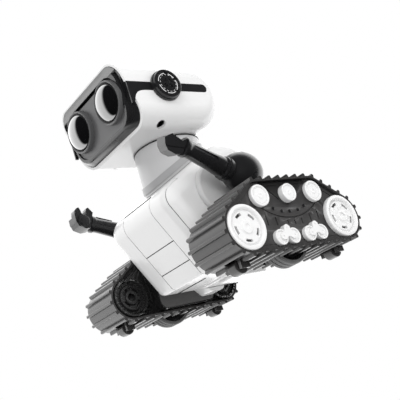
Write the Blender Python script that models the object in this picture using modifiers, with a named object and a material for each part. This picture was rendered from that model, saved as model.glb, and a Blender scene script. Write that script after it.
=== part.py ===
"""Toy robot: a torso, neck, head and two raised arms on two track pods, driven by one wheel under each pod.

Metres, +Z up. The robot faces -Y, +X is its own left, and it stands on the plane Z = 0.
"""
import math

import bmesh
import bpy
from mathutils import Matrix, Vector

MM = 0.001
FIT = 0.3               # clearance between touching pieces, mm

# Pods: the outline is a belt around two large end circles and two small upper circles.
HALF_BASE = 56.0        # end wheel centres, fore and aft of the pod's middle
AXLE_Z = 31.0           # height of the end wheel centres
UPPER_Z = 55.7          # height of the upper wheel centres
UPPER_Y = 31.4          # spacing of the upper wheels
END_R = 21.2            # belt surface around the end wheels
TOP_R = 14.0            # belt surface around the upper wheels
TREAD = 2.6             # height of a tread bar
BELT_T = 1.7            # belt thickness
TREAD_BARS = 36
BAR_W = 3.6             # tread bar width
POD_IN = 65.7           # inner edge of the belt
POD_OUT = 114.9         # outer edge of the belt
PLATE_FACE = 111.6      # outer face of the side plate
PLATE_T = 2.6
COVER_FACE = 67.4       # inner face of the inner cover
COVER_T = 2.2
BOX_FACE = 58.0         # inner face of the box raised on the inner cover
BOX_CIRCLES = ((-22, 21, 8.5), (28, 21, 8.5), (22, 54, 8.5), (-22, 54, 8.5))
BOX_WALL = 1.8

# Trim wheels on the side plate.
BIG_R = 19.0
BIG_FACE = 116.0
UPPER_R = (9.4, 7.8, 9.4)
UPPER_FACE = (115.6, 117.4, 115.6)
BOGIE_Z = 19.2
BOGIE_Y = (9.6, 23.8)   # wheel centres of a bogie, from the pod's middle
BOGIE_R = 6.6

# Drive under each pod.
DRIVE_R = 22.8
DRIVE_IN = 84.0
DRIVE_OUT = 98.0
TYRE_T = 3.0
MODULE = 1.0
GEAR_TEETH = 28
PINION_TEETH = 10
GEAR_X = (80.2, 83.2)
ROLLER_R = 6.6
ROLLER_W = 11.0
ROLLER_X = 90.0
ROLLER_Y = 56.0
SHAFT_R = 1.6

# Torso: a box pitched forward, cut flat underneath.
LEAN = math.radians(29.5)
TORSO_HALF = 53.0
TORSO_EDGE = 15.0       # rounding of the side edges
WALL = 2.6
BIB_HALF = 45.6         # front cover half width
CHEST_HALF = 22.8       # chest panel half width
PANEL_T = 1.2
DOOR_HALF = 31.0        # battery door: a shallow tub with a keel along its middle
DOOR_Y = (4.0, 54.0)
DOOR_Z = 20.0
DOOR_EDGE = 2.0
KEEL_HALF = 12.0
KEEL_Y = (8.0, 50.0)
KEEL_Z = 17.0           # lowest part of the belly
GROOVES_UP = (32.4, 53.9, 75.6)     # height of the chest grooves up the leaning front
CHEST_TOP = 116.2       # upper end of the chest panel
GROOVE = 0.7

# Neck and head.
NECK_Y = -13.3
NECK_R = 32.3
NECK_TOP = 153.9
POST_R = 7.5
HEAD_HALF = 56.5
HEAD_EDGE = 18.0
FACE_STEPS = 6          # steps around a rounded corner of the head and face
HEAD_BOTTOM = 154.3
HEAD_TOP = 218.0
HEAD_BACK_Y = -4.8      # centre of the round back
EYE_X = 28.0
EYE_Z = 187.6
EYE_RING_R = 20.3
LENS_R = 17.0
EAR_Y = -40.0
EAR_Z = 189.0
EAR_R = 14.7
BAND_H = 8.0
BAND_FRONT = -79.0
BAND_ROOT = -74.0
BAND_END = 9.0

# Arms.
SHOULDER = (-6.0, 92.0)             # y, z of the shoulder axis
CAP_CENTRE = (75.0, -2.0, 93.6)
CAP_SIZE = (15.5, 21.5, 18.6)
SOCKET = (-14.0, 88.0)
SOCKET_R = 25.0
ELBOW = (77.5, -23.5, 96.8)
WRIST = (84.4, -67.0, 115.0)

COLOURS = {
    "white": ((0.86, 0.86, 0.86, 1.0), 0.3, 0.0),
    "light_grey": ((0.5, 0.5, 0.5, 1.0), 0.4, 0.0),
    "dark_grey": ((0.06, 0.06, 0.065, 1.0), 0.45, 0.0),
    "black": ((0.02, 0.02, 0.022, 1.0), 0.35, 0.0),
    "lens": ((0.01, 0.01, 0.012, 1.0), 0.05, 0.0),
    "rubber": ((0.05, 0.05, 0.052, 1.0), 0.8, 0.0),
    "metal": ((0.6, 0.6, 0.6, 1.0), 0.35, 1.0),
    "green": ((0.02, 0.16, 0.07, 1.0), 0.5, 0.0),
    "blue": ((0.03, 0.1, 0.35, 1.0), 0.4, 0.0),
}

SIDES = (("left", 1), ("right", -1))
CENTRE_SHIFT = 6.42     # puts the middle of the whole toy on Y = 0


# ---------------------------------------------------------------- scene and materials

def clear_scene():
    for obj in list(bpy.data.objects):
        bpy.data.objects.remove(obj, do_unlink=True)


def collection(name):
    coll = bpy.data.collections.new(name)
    bpy.context.scene.collection.children.link(coll)
    return coll


def material(name):
    colour, roughness, metallic = COLOURS[name]
    mat = bpy.data.materials.new(name)
    mat.use_nodes = True
    shader = mat.node_tree.nodes["Principled BSDF"]
    shader.inputs["Base Color"].default_value = colour
    shader.inputs["Roughness"].default_value = roughness
    shader.inputs["Metallic"].default_value = metallic
    mat.diffuse_color = colour
    return mat


clear_scene()
PARTS = collection("two_wheel_robot")
CUTTERS = collection("cutters")


def finish(obj, colour, smooth=True):
    """Give a part its own material and move it into the parts collection."""
    mat = material(colour)
    mat.name = obj.name + "_" + colour
    obj.data.materials.clear()
    obj.data.materials.append(mat)
    if smooth:
        obj.data.shade_smooth()
        obj.data.set_sharp_from_angle(angle=math.radians(35))
    PARTS.objects.link(obj)
    return obj


def as_cutter(obj):
    obj.hide_render = True
    obj.display_type = "WIRE"
    CUTTERS.objects.link(obj)
    return obj


def boolean(obj, cutter, operation="DIFFERENCE"):
    mod = obj.modifiers.new(cutter.name, "BOOLEAN")
    mod.operation = operation
    mod.solver = "EXACT"
    mod.object = cutter
    return obj


def mesh_from(bm, name):
    bmesh.ops.recalc_face_normals(bm, faces=bm.faces)
    mesh = bpy.data.meshes.new(name)
    bm.to_mesh(mesh)
    bm.free()
    return bpy.data.objects.new(name, mesh)


# ---------------------------------------------------------------- shape makers

def box(name, x, y, z, bevel=0.0, segments=2):
    """A box between two limits on each axis, in mm, with its origin in its middle."""
    bm = bmesh.new()
    bmesh.ops.create_cube(bm, size=1.0)
    size = Vector((x[1] - x[0], y[1] - y[0], z[1] - z[0])) * MM
    bmesh.ops.scale(bm, vec=size, verts=bm.verts)
    if bevel:
        bmesh.ops.bevel(bm, geom=list(bm.edges), offset=bevel * MM, segments=segments,
                        profile=0.5, affect="EDGES")
    obj = mesh_from(bm, name)
    obj.location = Vector((x[0] + x[1], y[0] + y[1], z[0] + z[1])) * MM / 2
    return obj


def turned(name, profile, centre, side, segments=24):
    """A turned piece around an X axis: (radius, outward x) points, from the outer face inward.

    side 1 points outward along +X and side -1 along -X.
    """
    bm = bmesh.new()
    middle = centre[0]
    closed = profile[0] == profile[-1]
    points = profile[:-1] if closed else profile
    verts = [bm.verts.new((r * MM, 0, (x - middle) * MM)) for r, x in points]
    for a, b in zip(verts, verts[1:]):
        bm.edges.new((a, b))
    if closed:
        bm.edges.new((verts[-1], verts[0]))
    mesh = bpy.data.meshes.new(name)
    bm.to_mesh(mesh)
    bm.free()
    obj = bpy.data.objects.new(name, mesh)
    screw = obj.modifiers.new("turn", "SCREW")
    screw.steps = segments
    screw.render_steps = segments
    screw.use_merge_vertices = True
    screw.merge_threshold = 0.00002
    obj.location = (side * middle * MM, centre[1] * MM, centre[2] * MM)
    obj.rotation_euler = (0, side * math.pi / 2, 0)
    return obj


def rod(name, radius, x0, x1, y, z, side=1, segments=16):
    """A plain cylinder along X."""
    profile = [(0, x1), (radius, x1), (radius, x0), (0, x0)]
    return turned(name, profile, ((x0 + x1) / 2, y, z), side, segments)


def plate(name, outline, x0, x1, side=1):
    """A flat outline in the YZ plane, extruded along X between two distances from the middle."""
    curve = bpy.data.curves.new(name, "CURVE")
    curve.dimensions = "2D"
    curve.fill_mode = "BOTH"
    curve.extrude = (x1 - x0) / 2 * MM
    spline = curve.splines.new("POLY")
    spline.points.add(len(outline) - 1)
    spline.use_cyclic_u = True
    for slot, (y, z) in zip(spline.points, outline):
        slot.co = (y * MM, z * MM, 0, 1)
    flat = bpy.data.objects.new(name + "_outline", curve)
    bpy.context.scene.collection.objects.link(flat)
    graph = bpy.context.evaluated_depsgraph_get()
    mesh = bpy.data.meshes.new_from_object(flat.evaluated_get(graph))
    bpy.data.objects.remove(flat)
    bm = bmesh.new()
    bm.from_mesh(mesh)
    bmesh.ops.remove_doubles(bm, verts=bm.verts, dist=0.00001)
    bmesh.ops.dissolve_limit(bm, angle_limit=0.005, verts=bm.verts, edges=bm.edges)
    obj = mesh_from(bm, name)
    turn = Matrix(((0, 0, 1), (1, 0, 0), (0, 1, 0))).to_4x4()
    obj.matrix_world = Matrix.Translation((side * (x0 + x1) / 2 * MM, 0, 0)) @ turn
    return obj


def arc(cy, cz, radius, start, end, steps):
    """Points on an arc in the YZ plane, angles in radians from +Y towards +Z."""
    angles = [start + (end - start) * i / steps for i in range(steps + 1)]
    return [(cy + radius * math.cos(a), cz + radius * math.sin(a)) for a in angles]


def hull_normals(circles):
    """Outward angle of each straight run of a belt around circles (y, z, r), counter-clockwise."""
    normals = []
    for (y0, z0, r0), (y1, z1, r1) in zip(circles, circles[1:] + circles[:1]):
        gap = math.hypot(y1 - y0, z1 - z0)
        normals.append(math.atan2(z1 - z0, y1 - y0) - math.acos((r0 - r1) / gap))
    return normals


def belt_outline(circles, steps=5):
    """The outline of a belt pulled tight around circles, listed counter-clockwise."""
    normals = hull_normals(circles)
    points = []
    for i, (y, z, r) in enumerate(circles):
        start, end = normals[i - 1], normals[i]
        while end < start:
            end += 2 * math.pi
        points += arc(y, z, r, start, end, steps)
    return points


def rounded_outline(corners, inset=0.0, steps=5):
    """A convex outline of (y, z, radius) corners, counter-clockwise, moved inward by inset."""
    lines = []
    count = len(corners)
    for i in range(count):
        a, b = Vector(corners[i][:2]), Vector(corners[(i + 1) % count][:2])
        along = (b - a).normalized()
        inward = Vector((-along.y, along.x))
        lines.append((a + inward * inset, along))
    points = []
    for i in range(count):
        (p, u), (q, v) = lines[i - 1], lines[i]
        cross = u.x * v.y - u.y * v.x
        reach = ((q - p).x * v.y - (q - p).y * v.x) / cross
        corner = p + u * reach
        radius = max(corners[i][2] - inset, 0.5)
        half = math.acos(max(-1.0, min(1.0, u.dot(v)))) / 2
        setback = radius * math.tan(half)
        start = corner - u * setback
        centre = start + Vector((-u.y, u.x)) * radius
        first = math.atan2(start.y - centre.y, start.x - centre.x)
        points += arc(centre.x, centre.y, radius, first, first + 2 * half, steps)
    return points


def loft(name, sections):
    """A closed body through rings of equal point count; each ring is a list of (x, y, z) in mm."""
    bm = bmesh.new()
    rings = [[bm.verts.new(Vector(p) * MM) for p in ring] for ring in sections]
    count = len(rings[0])
    for near, far in zip(rings, rings[1:]):
        for i in range(count):
            j = (i + 1) % count
            bm.faces.new((near[i], near[j], far[j], far[i]))
    bm.faces.new(rings[0])
    bm.faces.new(list(reversed(rings[-1])))
    return mesh_from(bm, name)


def rounded_body(name, outline_at, half_width, edge, inset=0.0, steps=3):
    """A body of a YZ outline with rounded side edges; outline_at(inset) gives each section."""
    edge = max(edge - inset, 0.5)
    flat = half_width - inset - edge
    turns = [math.pi / 2 * i / steps for i in range(steps + 1)]
    left = [(flat + edge * math.sin(a), edge * (1 - math.cos(a))) for a in turns]
    right = [(-x, extra) for x, extra in reversed(left)]
    sections = []
    for x, extra in right + left:
        sections.append([(x, y, z) for y, z in outline_at(inset + extra)])
    return loft(name, sections)


# ---------------------------------------------------------------- track pods

def pod_circles(offset):
    return [
        (-HALF_BASE, AXLE_Z, END_R + offset),
        (HALF_BASE, AXLE_Z, END_R + offset),
        (UPPER_Y, UPPER_Z, TOP_R + offset),
        (-UPPER_Y, UPPER_Z, TOP_R + offset),
    ]


def belt_walk():
    """A function giving the belt's point at a distance along it and a height above it, and the length."""
    circles = pod_circles(0)
    normals = hull_normals(circles)
    runs = []
    for i, (y, z, r) in enumerate(circles):
        start, end = normals[i - 1], normals[i]
        while end < start:
            end += 2 * math.pi
        runs.append((y, z, r, start, end - start))
    length = 0.0
    spans = []
    for i, (y, z, r, start, sweep) in enumerate(runs):
        y1, z1, r1 = circles[(i + 1) % len(circles)]
        straight = math.sqrt((y1 - y) ** 2 + (z1 - z) ** 2 - (r - r1) ** 2)
        spans.append((length, r * sweep, straight))
        length += r * sweep + straight

    def at(distance, height):
        distance %= length
        for (y, z, r, start, sweep), (begin, bend, straight) in zip(runs, spans):
            if distance > begin + bend + straight:
                continue
            turn = min(distance - begin, bend) / bend * sweep
            angle = start + turn
            ahead = max(distance - begin - bend, 0.0)
            reach = r + height
            return (y + reach * math.cos(angle) - ahead * math.sin(angle),
                    z + reach * math.sin(angle) + ahead * math.cos(angle))
        return at(0.0, height)

    return at, length


def belt_ring(name, side):
    """The closed belt with its tread bars, as one band around the pod."""
    at, length = belt_walk()
    pitch = length / TREAD_BARS
    bm = bmesh.new()

    def pair(distance, height):
        y, z = at(distance, height)
        return [bm.verts.new((side * x * MM, y * MM, z * MM)) for x in (POD_IN, POD_OUT)]

    outer = []
    inner = []
    for i in range(TREAD_BARS):
        start = i * pitch
        outer.append([pair(start + step, height) for step, height in
                      ((0, 0), (0.5, TREAD), (BAR_W - 0.5, TREAD), (BAR_W, 0))])
        inner.append([pair(start + step, -BELT_T) for step in (0, BAR_W)])
    for i in range(TREAD_BARS):
        bar, base = outer[i], inner[i]
        following, following_base = outer[(i + 1) % TREAD_BARS], inner[(i + 1) % TREAD_BARS]
        for a, b in zip(bar, bar[1:] + following[:1]):
            bm.faces.new((a[0], b[0], b[1], a[1]))
        for a, b in zip(base, base[1:] + following_base[:1]):
            bm.faces.new((a[1], b[1], b[0], a[0]))
        for end in (0, 1):
            bm.faces.new([p[end] for p in bar] + [base[1][end], base[0][end]])
            bm.faces.new([bar[3][end], following[0][end], following_base[0][end], base[1][end]])
    return mesh_from(bm, name)


def roller_slot(side, y):
    half = ROLLER_W / 2 + 0.8
    return box("slot", sorted((side * (ROLLER_X - half), side * (ROLLER_X + half))),
               (y - ROLLER_R - 1.2, y + ROLLER_R + 1.2), (-2, 16))


def track_shell(name, side):
    shell = belt_ring(name, side)
    reach = math.sqrt(DRIVE_R ** 2 - (DRIVE_R - 12) ** 2) + 2.5
    window = box(name + "_window", sorted((side * (GEAR_X[0] - 1.4), side * (DRIVE_OUT + 2))),
                 (-reach, reach), (2, 14))
    boolean(shell, as_cutter(window))
    for y in (-ROLLER_Y, ROLLER_Y):
        for end in (-1, 1):
            x0 = ROLLER_X + end * (ROLLER_W / 2 + 1.2)
            x1 = x0 + end * 3.2
            lug = box(name + "_lug", sorted((side * x0, side * x1)), (y - 4.5, y + 4.5), (3.4, 12.0))
            boolean(shell, as_cutter(lug), "UNION")
    for y in (-ROLLER_Y, ROLLER_Y):
        slot = as_cutter(roller_slot(side, y))
        boolean(shell, slot)
        pin = rod(name + "_pin_hole", SHAFT_R + FIT, ROLLER_X - ROLLER_W / 2 - 3, ROLLER_X + ROLLER_W / 2 + 3,
                  y, ROLLER_R, side, 10)
        boolean(shell, as_cutter(pin))
    return finish(shell, "dark_grey", smooth=False)


def bearing(obj, name, x0, x1, bore0, bore1, side, y, z):
    """Add a boss to a plate and bore it for the drive axle."""
    boolean(obj, as_cutter(rod(name + "_boss", 4.2, x0, x1, y, z, side, 20)), "UNION")
    boolean(obj, as_cutter(rod(name + "_bore", 2.3, bore0, bore1, y, z, side, 16)))


def side_plate(name, side):
    outline = belt_outline(pod_circles(-BELT_T - FIT))
    panel = plate(name, outline, PLATE_FACE - PLATE_T, PLATE_FACE, side)
    bearing(panel, name, 102.0, PLATE_FACE - 1.0, 101.0, PLATE_FACE - 1.4, side, 0, DRIVE_R)
    return finish(panel, "dark_grey")


def inner_cover(name, side):
    outline = belt_outline(pod_circles(-BELT_T - FIT))
    panel = plate(name, outline, COVER_FACE, COVER_FACE + COVER_T, side)
    raised = belt_outline(list(BOX_CIRCLES), 4)
    hollow = belt_outline([(y, z, r - BOX_WALL) for y, z, r in BOX_CIRCLES], 4)
    boolean(panel, as_cutter(plate(name + "_box", raised, BOX_FACE, COVER_FACE + 1, side)), "UNION")
    boolean(panel, as_cutter(plate(name + "_hollow", hollow, BOX_FACE + BOX_WALL, COVER_FACE + 4, side)))
    rings = [(0, -67.0), (3.6, -67.0), (3.6, -64.9), (6.5, -64.9), (12.5, -65.9), (15.5, -64.4), (18.6, -64.4),
             (18.6, -68.5), (0, -68.5)]
    for y in (-HALF_BASE, HALF_BASE):
        disc = turned(name + "_disc", rings, (-66.0, y, AXLE_Z), -side)
        boolean(panel, as_cutter(disc), "UNION")
    bearing(panel, name, BOX_FACE + 1.0, 75.0, COVER_FACE + 1.4, 76.0, side, 0, DRIVE_R)
    return finish(panel, "dark_grey")


def trim_wheel(name, radius, face, y, z, side, segments):
    """A pressed-on wheel: rim, dished web and centre boss."""
    back = PLATE_FACE + FIT
    rim = radius * 0.84
    dish = face - radius * 0.1
    profile = [(0, face - 0.3), (radius * 0.25, face - 0.3), (radius * 0.3, dish), (rim - 0.8, dish),
               (rim, face), (radius, face - 0.4), (radius, back), (0, back)]
    return finish(turned(name, profile, ((face + back) / 2, y, z), side, segments), "white")


def bogie(name, side, direction):
    """Two small road wheels joined by a three-lobed bracket."""
    back = PLATE_FACE + FIT
    middle = direction * (BOGIE_Y[0] + BOGIE_Y[1]) / 2
    lobes = [(middle - 6.2, BOGIE_Z, 2.6), (middle + 6.2, BOGIE_Z, 2.6), (middle, BOGIE_Z + 6.6, 2.8)]
    body = plate(name, belt_outline(lobes, 4), back, PLATE_FACE + 5.6, side)
    for y in BOGIE_Y:
        wheel = rod(name + "_wheel", BOGIE_R, back, PLATE_FACE + 4.2, direction * y, BOGIE_Z, side, 14)
        boolean(body, as_cutter(wheel), "UNION")
    return finish(body, "white")


def gear_outline(teeth, cy, cz, phase):
    """A gear of simple tapered teeth with backlash, in the YZ plane."""
    pitch_r = MODULE * teeth / 2
    root, tip = pitch_r - 1.15 * MODULE, pitch_r + 0.85 * MODULE
    step = 2 * math.pi / teeth
    points = []
    for i in range(teeth):
        middle = phase + i * step
        for angle, radius in ((-0.30, root), (-0.11, tip), (0.11, tip), (0.30, root)):
            a = middle + angle * step
            points.append((cy + radius * math.cos(a), cz + radius * math.sin(a)))
    return points


GEAR_DISTANCE = MODULE * (GEAR_TEETH + PINION_TEETH) / 2 + 0.25
MOTOR_Z = DRIVE_R + GEAR_DISTANCE


def drive_wheel(name, side):
    """Hub, axle and moulded spur gear; the rubber tyre is its own piece."""
    hub_r = DRIVE_R - TYRE_T
    profile = [(0, 109.8), (2.0, 109.8), (2.0, 101.6), (5.0, 101.6), (5.0, 96.0), (hub_r - 3, DRIVE_OUT - 2),
               (hub_r - 0.5, DRIVE_OUT), (hub_r - 0.5, DRIVE_IN), (5.0, DRIVE_IN), (5.0, 75.6), (2.0, 75.6),
               (2.0, 69.2), (0, 69.2)]
    wheel = turned(name, profile, (91.0, 0, DRIVE_R), side, 16)
    teeth = gear_outline(GEAR_TEETH, 0, DRIVE_R, math.pi / 2)
    gear = plate(name + "_gear", teeth, GEAR_X[0], GEAR_X[1] + 1.0, side)
    boolean(wheel, as_cutter(gear), "UNION")
    return finish(wheel, "black")


def drive_tyre(name, side):
    hub_r = DRIVE_R - TYRE_T - 0.5 + FIT
    profile = [(hub_r, DRIVE_OUT), (DRIVE_R - 1, DRIVE_OUT), (DRIVE_R, DRIVE_OUT - 1), (DRIVE_R, DRIVE_IN + 1),
               (hub_r, DRIVE_IN), (hub_r, DRIVE_OUT)]
    return finish(turned(name, profile, (91.0, 0, DRIVE_R), side, 36), "rubber")


def motor(name, side):
    profile = [(0, 74.0), (1.6, 74.0), (1.6, 79.4), (3.0, 79.4), (3.0, 78.6), (7.0, 78.6), (7.0, 70.2), (0, 70.2)]
    return finish(turned(name, profile, (74.8, 0, MOTOR_Z), side, 16), "metal")


def pinion(name, side):
    """Small steel gear with the end of its shaft in the motor."""
    gear = plate(name, gear_outline(PINION_TEETH, 0, MOTOR_Z, -math.pi / 2 + math.pi / PINION_TEETH),
                 GEAR_X[0], GEAR_X[1], side)
    shaft = rod(name + "_shaft", 1.2, 75.5, GEAR_X[1] + 0.2, 0, MOTOR_Z, side, 10)
    boolean(gear, as_cutter(shaft), "UNION")
    return finish(gear, "metal")


def roller(name, side, y):
    half = ROLLER_W / 2
    x = ROLLER_X
    profile = [(0, x + half + 2.6), (SHAFT_R, x + half + 2.6), (SHAFT_R, x + half), (ROLLER_R - 1, x + half),
               (ROLLER_R, x + half - 1), (ROLLER_R, x - half + 1), (ROLLER_R - 1, x - half), (SHAFT_R, x - half),
               (SHAFT_R, x - half - 2.6), (0, x - half - 2.6)]
    return finish(turned(name, profile, (x, y, ROLLER_R), side, 16), "dark_grey")


def pod(side_name, side):
    track_shell(side_name + "_track_shell", side)
    side_plate(side_name + "_side_plate", side)
    inner_cover(side_name + "_inner_cover", side)
    trim_wheel(side_name + "_front_wheel", BIG_R, BIG_FACE, -HALF_BASE, AXLE_Z, side, 24)
    trim_wheel(side_name + "_rear_wheel", BIG_R, BIG_FACE, HALF_BASE, AXLE_Z, side, 24)
    for i, place in enumerate(("front", "middle", "rear")):
        trim_wheel(side_name + "_upper_wheel_" + place, UPPER_R[i], UPPER_FACE[i],
                   (i - 1) * UPPER_Y, UPPER_Z, side, 14)
    bogie(side_name + "_front_bogie", side, -1)
    bogie(side_name + "_rear_bogie", side, 1)
    drive_wheel(side_name + "_drive_wheel", side)
    drive_tyre(side_name + "_drive_tyre", side)
    motor(side_name + "_drive_motor", side)
    pinion(side_name + "_motor_pinion", side)
    roller(side_name + "_front_roller", side, -ROLLER_Y)
    roller(side_name + "_rear_roller", side, ROLLER_Y)


# ---------------------------------------------------------------- torso

def lean_point(back, up):
    """A point of the pitched torso frame as (y, z)."""
    return (back * math.cos(LEAN) - up * math.sin(LEAN), back * math.sin(LEAN) + up * math.cos(LEAN))


FRONT_BACK = -22.1      # front face, along the torso's own fore-and-aft direction
TOP_UP = 117.1          # top face, along the torso's own upward direction
REAR_BACK = 103.0


def torso_outline(inset=0.0):
    front_foot = lean_point(FRONT_BACK, 12.0)
    foot_z = 21.4
    shift = (front_foot[1] - foot_z) * math.tan(LEAN)
    corners = [
        (front_foot[0] + shift, foot_z, 5.0),
        (66.0, foot_z, 14.0),
        (74.0, 66.0, 20.0),
        (*lean_point(REAR_BACK - 8, TOP_UP), 30.0),
        (*lean_point(FRONT_BACK, TOP_UP), 16.0),
    ]
    return rounded_outline(corners, inset)


def torso_body(name, inset=0.0):
    return rounded_body(name, torso_outline, TORSO_HALF, TORSO_EDGE, inset)


def lean_box(name, x, back, up):
    """A box in the pitched torso frame."""
    obj = box(name, x, back, up)
    centre = lean_point((back[0] + back[1]) / 2, (up[0] + up[1]) / 2)
    obj.location = ((x[0] + x[1]) / 2 * MM, centre[0] * MM, centre[1] * MM)
    obj.rotation_euler = (LEAN, 0, 0)
    return obj


def torso():
    inner = as_cutter(torso_body("torso_inner", WALL))
    bib_back = 7.0
    bib = as_cutter(lean_box("bib", (-BIB_HALF, BIB_HALF), (-60, bib_back), (14, 140)))
    bib_half = BIB_HALF + FIT
    bib_space = as_cutter(lean_box("bib_space", (-bib_half, bib_half), (-60, bib_back + FIT), (14 - FIT, 140)))
    door_hole = as_cutter(box("door_hole", (-DOOR_HALF, DOOR_HALF), DOOR_Y, (DOOR_Z - 1, 30)))

    shell = torso_body("torso_shell")
    for cutter in (inner, bib_space, door_hole):
        boolean(shell, cutter)
    boolean(shell, as_cutter(box("switch_slot", (-6, 6), (68, 80), (44, 49))))
    for _, side in SIDES:
        boolean(shell, as_cutter(rod("shoulder_hole", 6.0, 46, 58, SHOULDER[0], SHOULDER[1], side)))
    finish(shell, "white")

    skin = as_cutter(torso_body("torso_skin", PANEL_T + FIT))
    chest_half = CHEST_HALF + FIT
    chest_space = as_cutter(lean_box("chest_space", (-chest_half, chest_half), (-70, bib_back + 2),
                                      (20 - FIT, CHEST_TOP + FIT)))
    outer_layer = torso_body("chest_layer", -1.0)
    boolean(outer_layer, skin)
    boolean(outer_layer, chest_space, "INTERSECT")
    as_cutter(outer_layer)
    cover = torso_body("front_cover")
    for cutter, operation in ((inner, "DIFFERENCE"), (bib, "INTERSECT"), (outer_layer, "DIFFERENCE")):
        boolean(cover, cutter, operation)
    finish(cover, "white")

    under_panel = as_cutter(torso_body("under_panel", PANEL_T))
    chest_box = as_cutter(lean_box("chest_box", (-CHEST_HALF, CHEST_HALF), (-70, bib_back), (20, CHEST_TOP)))
    panel = torso_body("chest_panel")
    boolean(panel, under_panel)
    boolean(panel, chest_box, "INTERSECT")
    for i, up in enumerate(GROOVES_UP):
        groove = lean_box("chest_groove", (-CHEST_HALF - 1, CHEST_HALF + 1), (-40, FRONT_BACK + 0.5),
                          (up - GROOVE / 2, up + GROOVE / 2))
        boolean(panel, as_cutter(groove))
    finish(panel, "white")

    door = box("battery_door", (-DOOR_HALF + FIT, DOOR_HALF - FIT), (DOOR_Y[0] + FIT, DOOR_Y[1] - FIT), (DOOR_Z, 27.6),
               DOOR_EDGE, 3)
    boolean(door, as_cutter(box("door_hollow", (-DOOR_HALF + 3, DOOR_HALF - 3), (DOOR_Y[0] + 3, DOOR_Y[1] - 3),
                                (DOOR_Z + 2.2, 30))))
    boolean(door, as_cutter(box("door_keel", (-KEEL_HALF, KEEL_HALF), KEEL_Y, (KEEL_Z, DOOR_Z + 1.5), 1.5, 2)), "UNION")
    finish(door, "white")
    finish(box("battery_pack", (-27, 27), (8, 50), (24.2, 42), 2, 1), "blue")
    finish(box("circuit_board", (-32, 32), (-20, -18.4), (60, 104)), "green")
    speaker = turned("speaker", [(0, 4), (9, 4), (13, 8), (15, 8), (15, 6), (9, 0), (9, -6), (0, -6)], (0, 0, 0), 1, 24)
    spot = lean_point(FRONT_BACK + 14, 66)
    speaker.location = (0, spot[0] * MM, spot[1] * MM)
    speaker.rotation_euler = (math.pi / 2 + LEAN, 0, 0)
    finish(speaker, "black")


def power_switch():
    """A slide button in the slot at the torso's back."""
    button = box("power_switch", (-5.6, -0.4), (68.6, 76.5), (44.6, 48.4), 0.4, 1)
    return finish(button, "black")


def hip_link(name, side):
    """The joint between torso and pod: a round boss with a foot behind it."""
    outline = belt_outline([(22, 23, 5.5), (32, 23, 5.5), (8, 48, 11)])
    link = plate(name, outline, 40, BOX_FACE - FIT, side)
    boolean(link, as_cutter(torso_body(name + "_clear", -FIT)))
    return finish(link, "white")


def shoulder_socket(name, side):
    """A light disc on the torso's side with the pivot post of the arm."""
    x = TORSO_HALF + FIT
    disc = turned(name, [(0, x + 4.5), (SOCKET_R - 1.5, x + 4.5), (SOCKET_R, x + 3.0), (SOCKET_R, x), (0, x)],
                  (x + 2, SOCKET[0], SOCKET[1]), side, 32)
    boolean(disc, as_cutter(rod(name + "_post", 5.6, 47, 66, SHOULDER[0], SHOULDER[1], side)), "UNION")
    return finish(disc, "light_grey")


# ---------------------------------------------------------------- neck and head

def neck():
    profile = [(0, NECK_TOP + 12), (POST_R, NECK_TOP + 12), (POST_R, NECK_TOP), (NECK_R - 1, NECK_TOP),
               (NECK_R, NECK_TOP - 1), (NECK_R + 0.6, 120), (NECK_R + 1.2, 60), (NECK_R - 2.4, 60),
               (NECK_R - 2.4, NECK_TOP - 3), (0, NECK_TOP - 3)]
    body = turned("neck", profile, (100, 0, 0), 1, 32)
    body.location = (0, NECK_Y * MM, 100 * MM)
    body.rotation_euler = (0, 0, 0)
    boolean(body, as_cutter(torso_body("neck_clear", -FIT)))
    return finish(body, "light_grey")


FACE_SLOPE = 5.2 / 58.7             # the face leans forward as it rises
RIM_SLOPE = 19.0 / 67.0             # the shell's front rim leans more


def face_y(z):
    return -80.7 - (z - 159.3) * FACE_SLOPE


def rim_y(z):
    return -69.4 - (z - HEAD_BOTTOM) * RIM_SLOPE


def head_outline(inset=0.0, forward=0.0):
    corners = [
        (rim_y(HEAD_BOTTOM) - forward, HEAD_BOTTOM, 1.0),
        (HEAD_BACK_Y + 33.0, HEAD_BOTTOM, 31.4),
        (HEAD_BACK_Y + 33.0, HEAD_TOP, 31.4),
        (rim_y(HEAD_TOP) - forward, HEAD_TOP, 1.0),
    ]
    return rounded_outline(corners, inset, 8)


def head_body(name, inset=0.0, forward=0.0):
    """The D shape with rounded side edges; the front rim stays in its own slanted plane."""
    slant = math.hypot(1.0, RIM_SLOPE)
    return rounded_body(name, lambda extra: head_outline(extra, forward + (extra - inset) * slant),
                        HEAD_HALF, HEAD_EDGE, inset, FACE_STEPS)


def rounded_rectangle(half, low, high, radius, steps=FACE_STEPS):
    """Points (x, z) of a rounded rectangle."""
    return rounded_outline([(-half, low, radius), (half, low, radius), (half, high, radius), (-half, high, radius)],
                           0.0, steps)


def face_ring(half, low, high, radius, y_of):
    return [(x, y_of(z), z) for x, z in rounded_rectangle(half, low, high, radius)]


def face_prism(name, half, low, high, radius, front, back):
    """A rounded rectangle swept back from the face."""
    ring = rounded_rectangle(half, low, high, radius)
    return loft(name, [[(x, face_y(z) + front, z) for x, z in ring], [(x, face_y(z) + back, z) for x, z in ring]])


def band_box(name, side, x, y, grow=0.0):
    """A stretch of the band along the head's side."""
    return box(name, sorted((side * x[0], side * x[1])), (y[0], y[1] + grow),
               (EAR_Z - BAND_H / 2 - grow, EAR_Z + BAND_H / 2 + grow))


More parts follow.
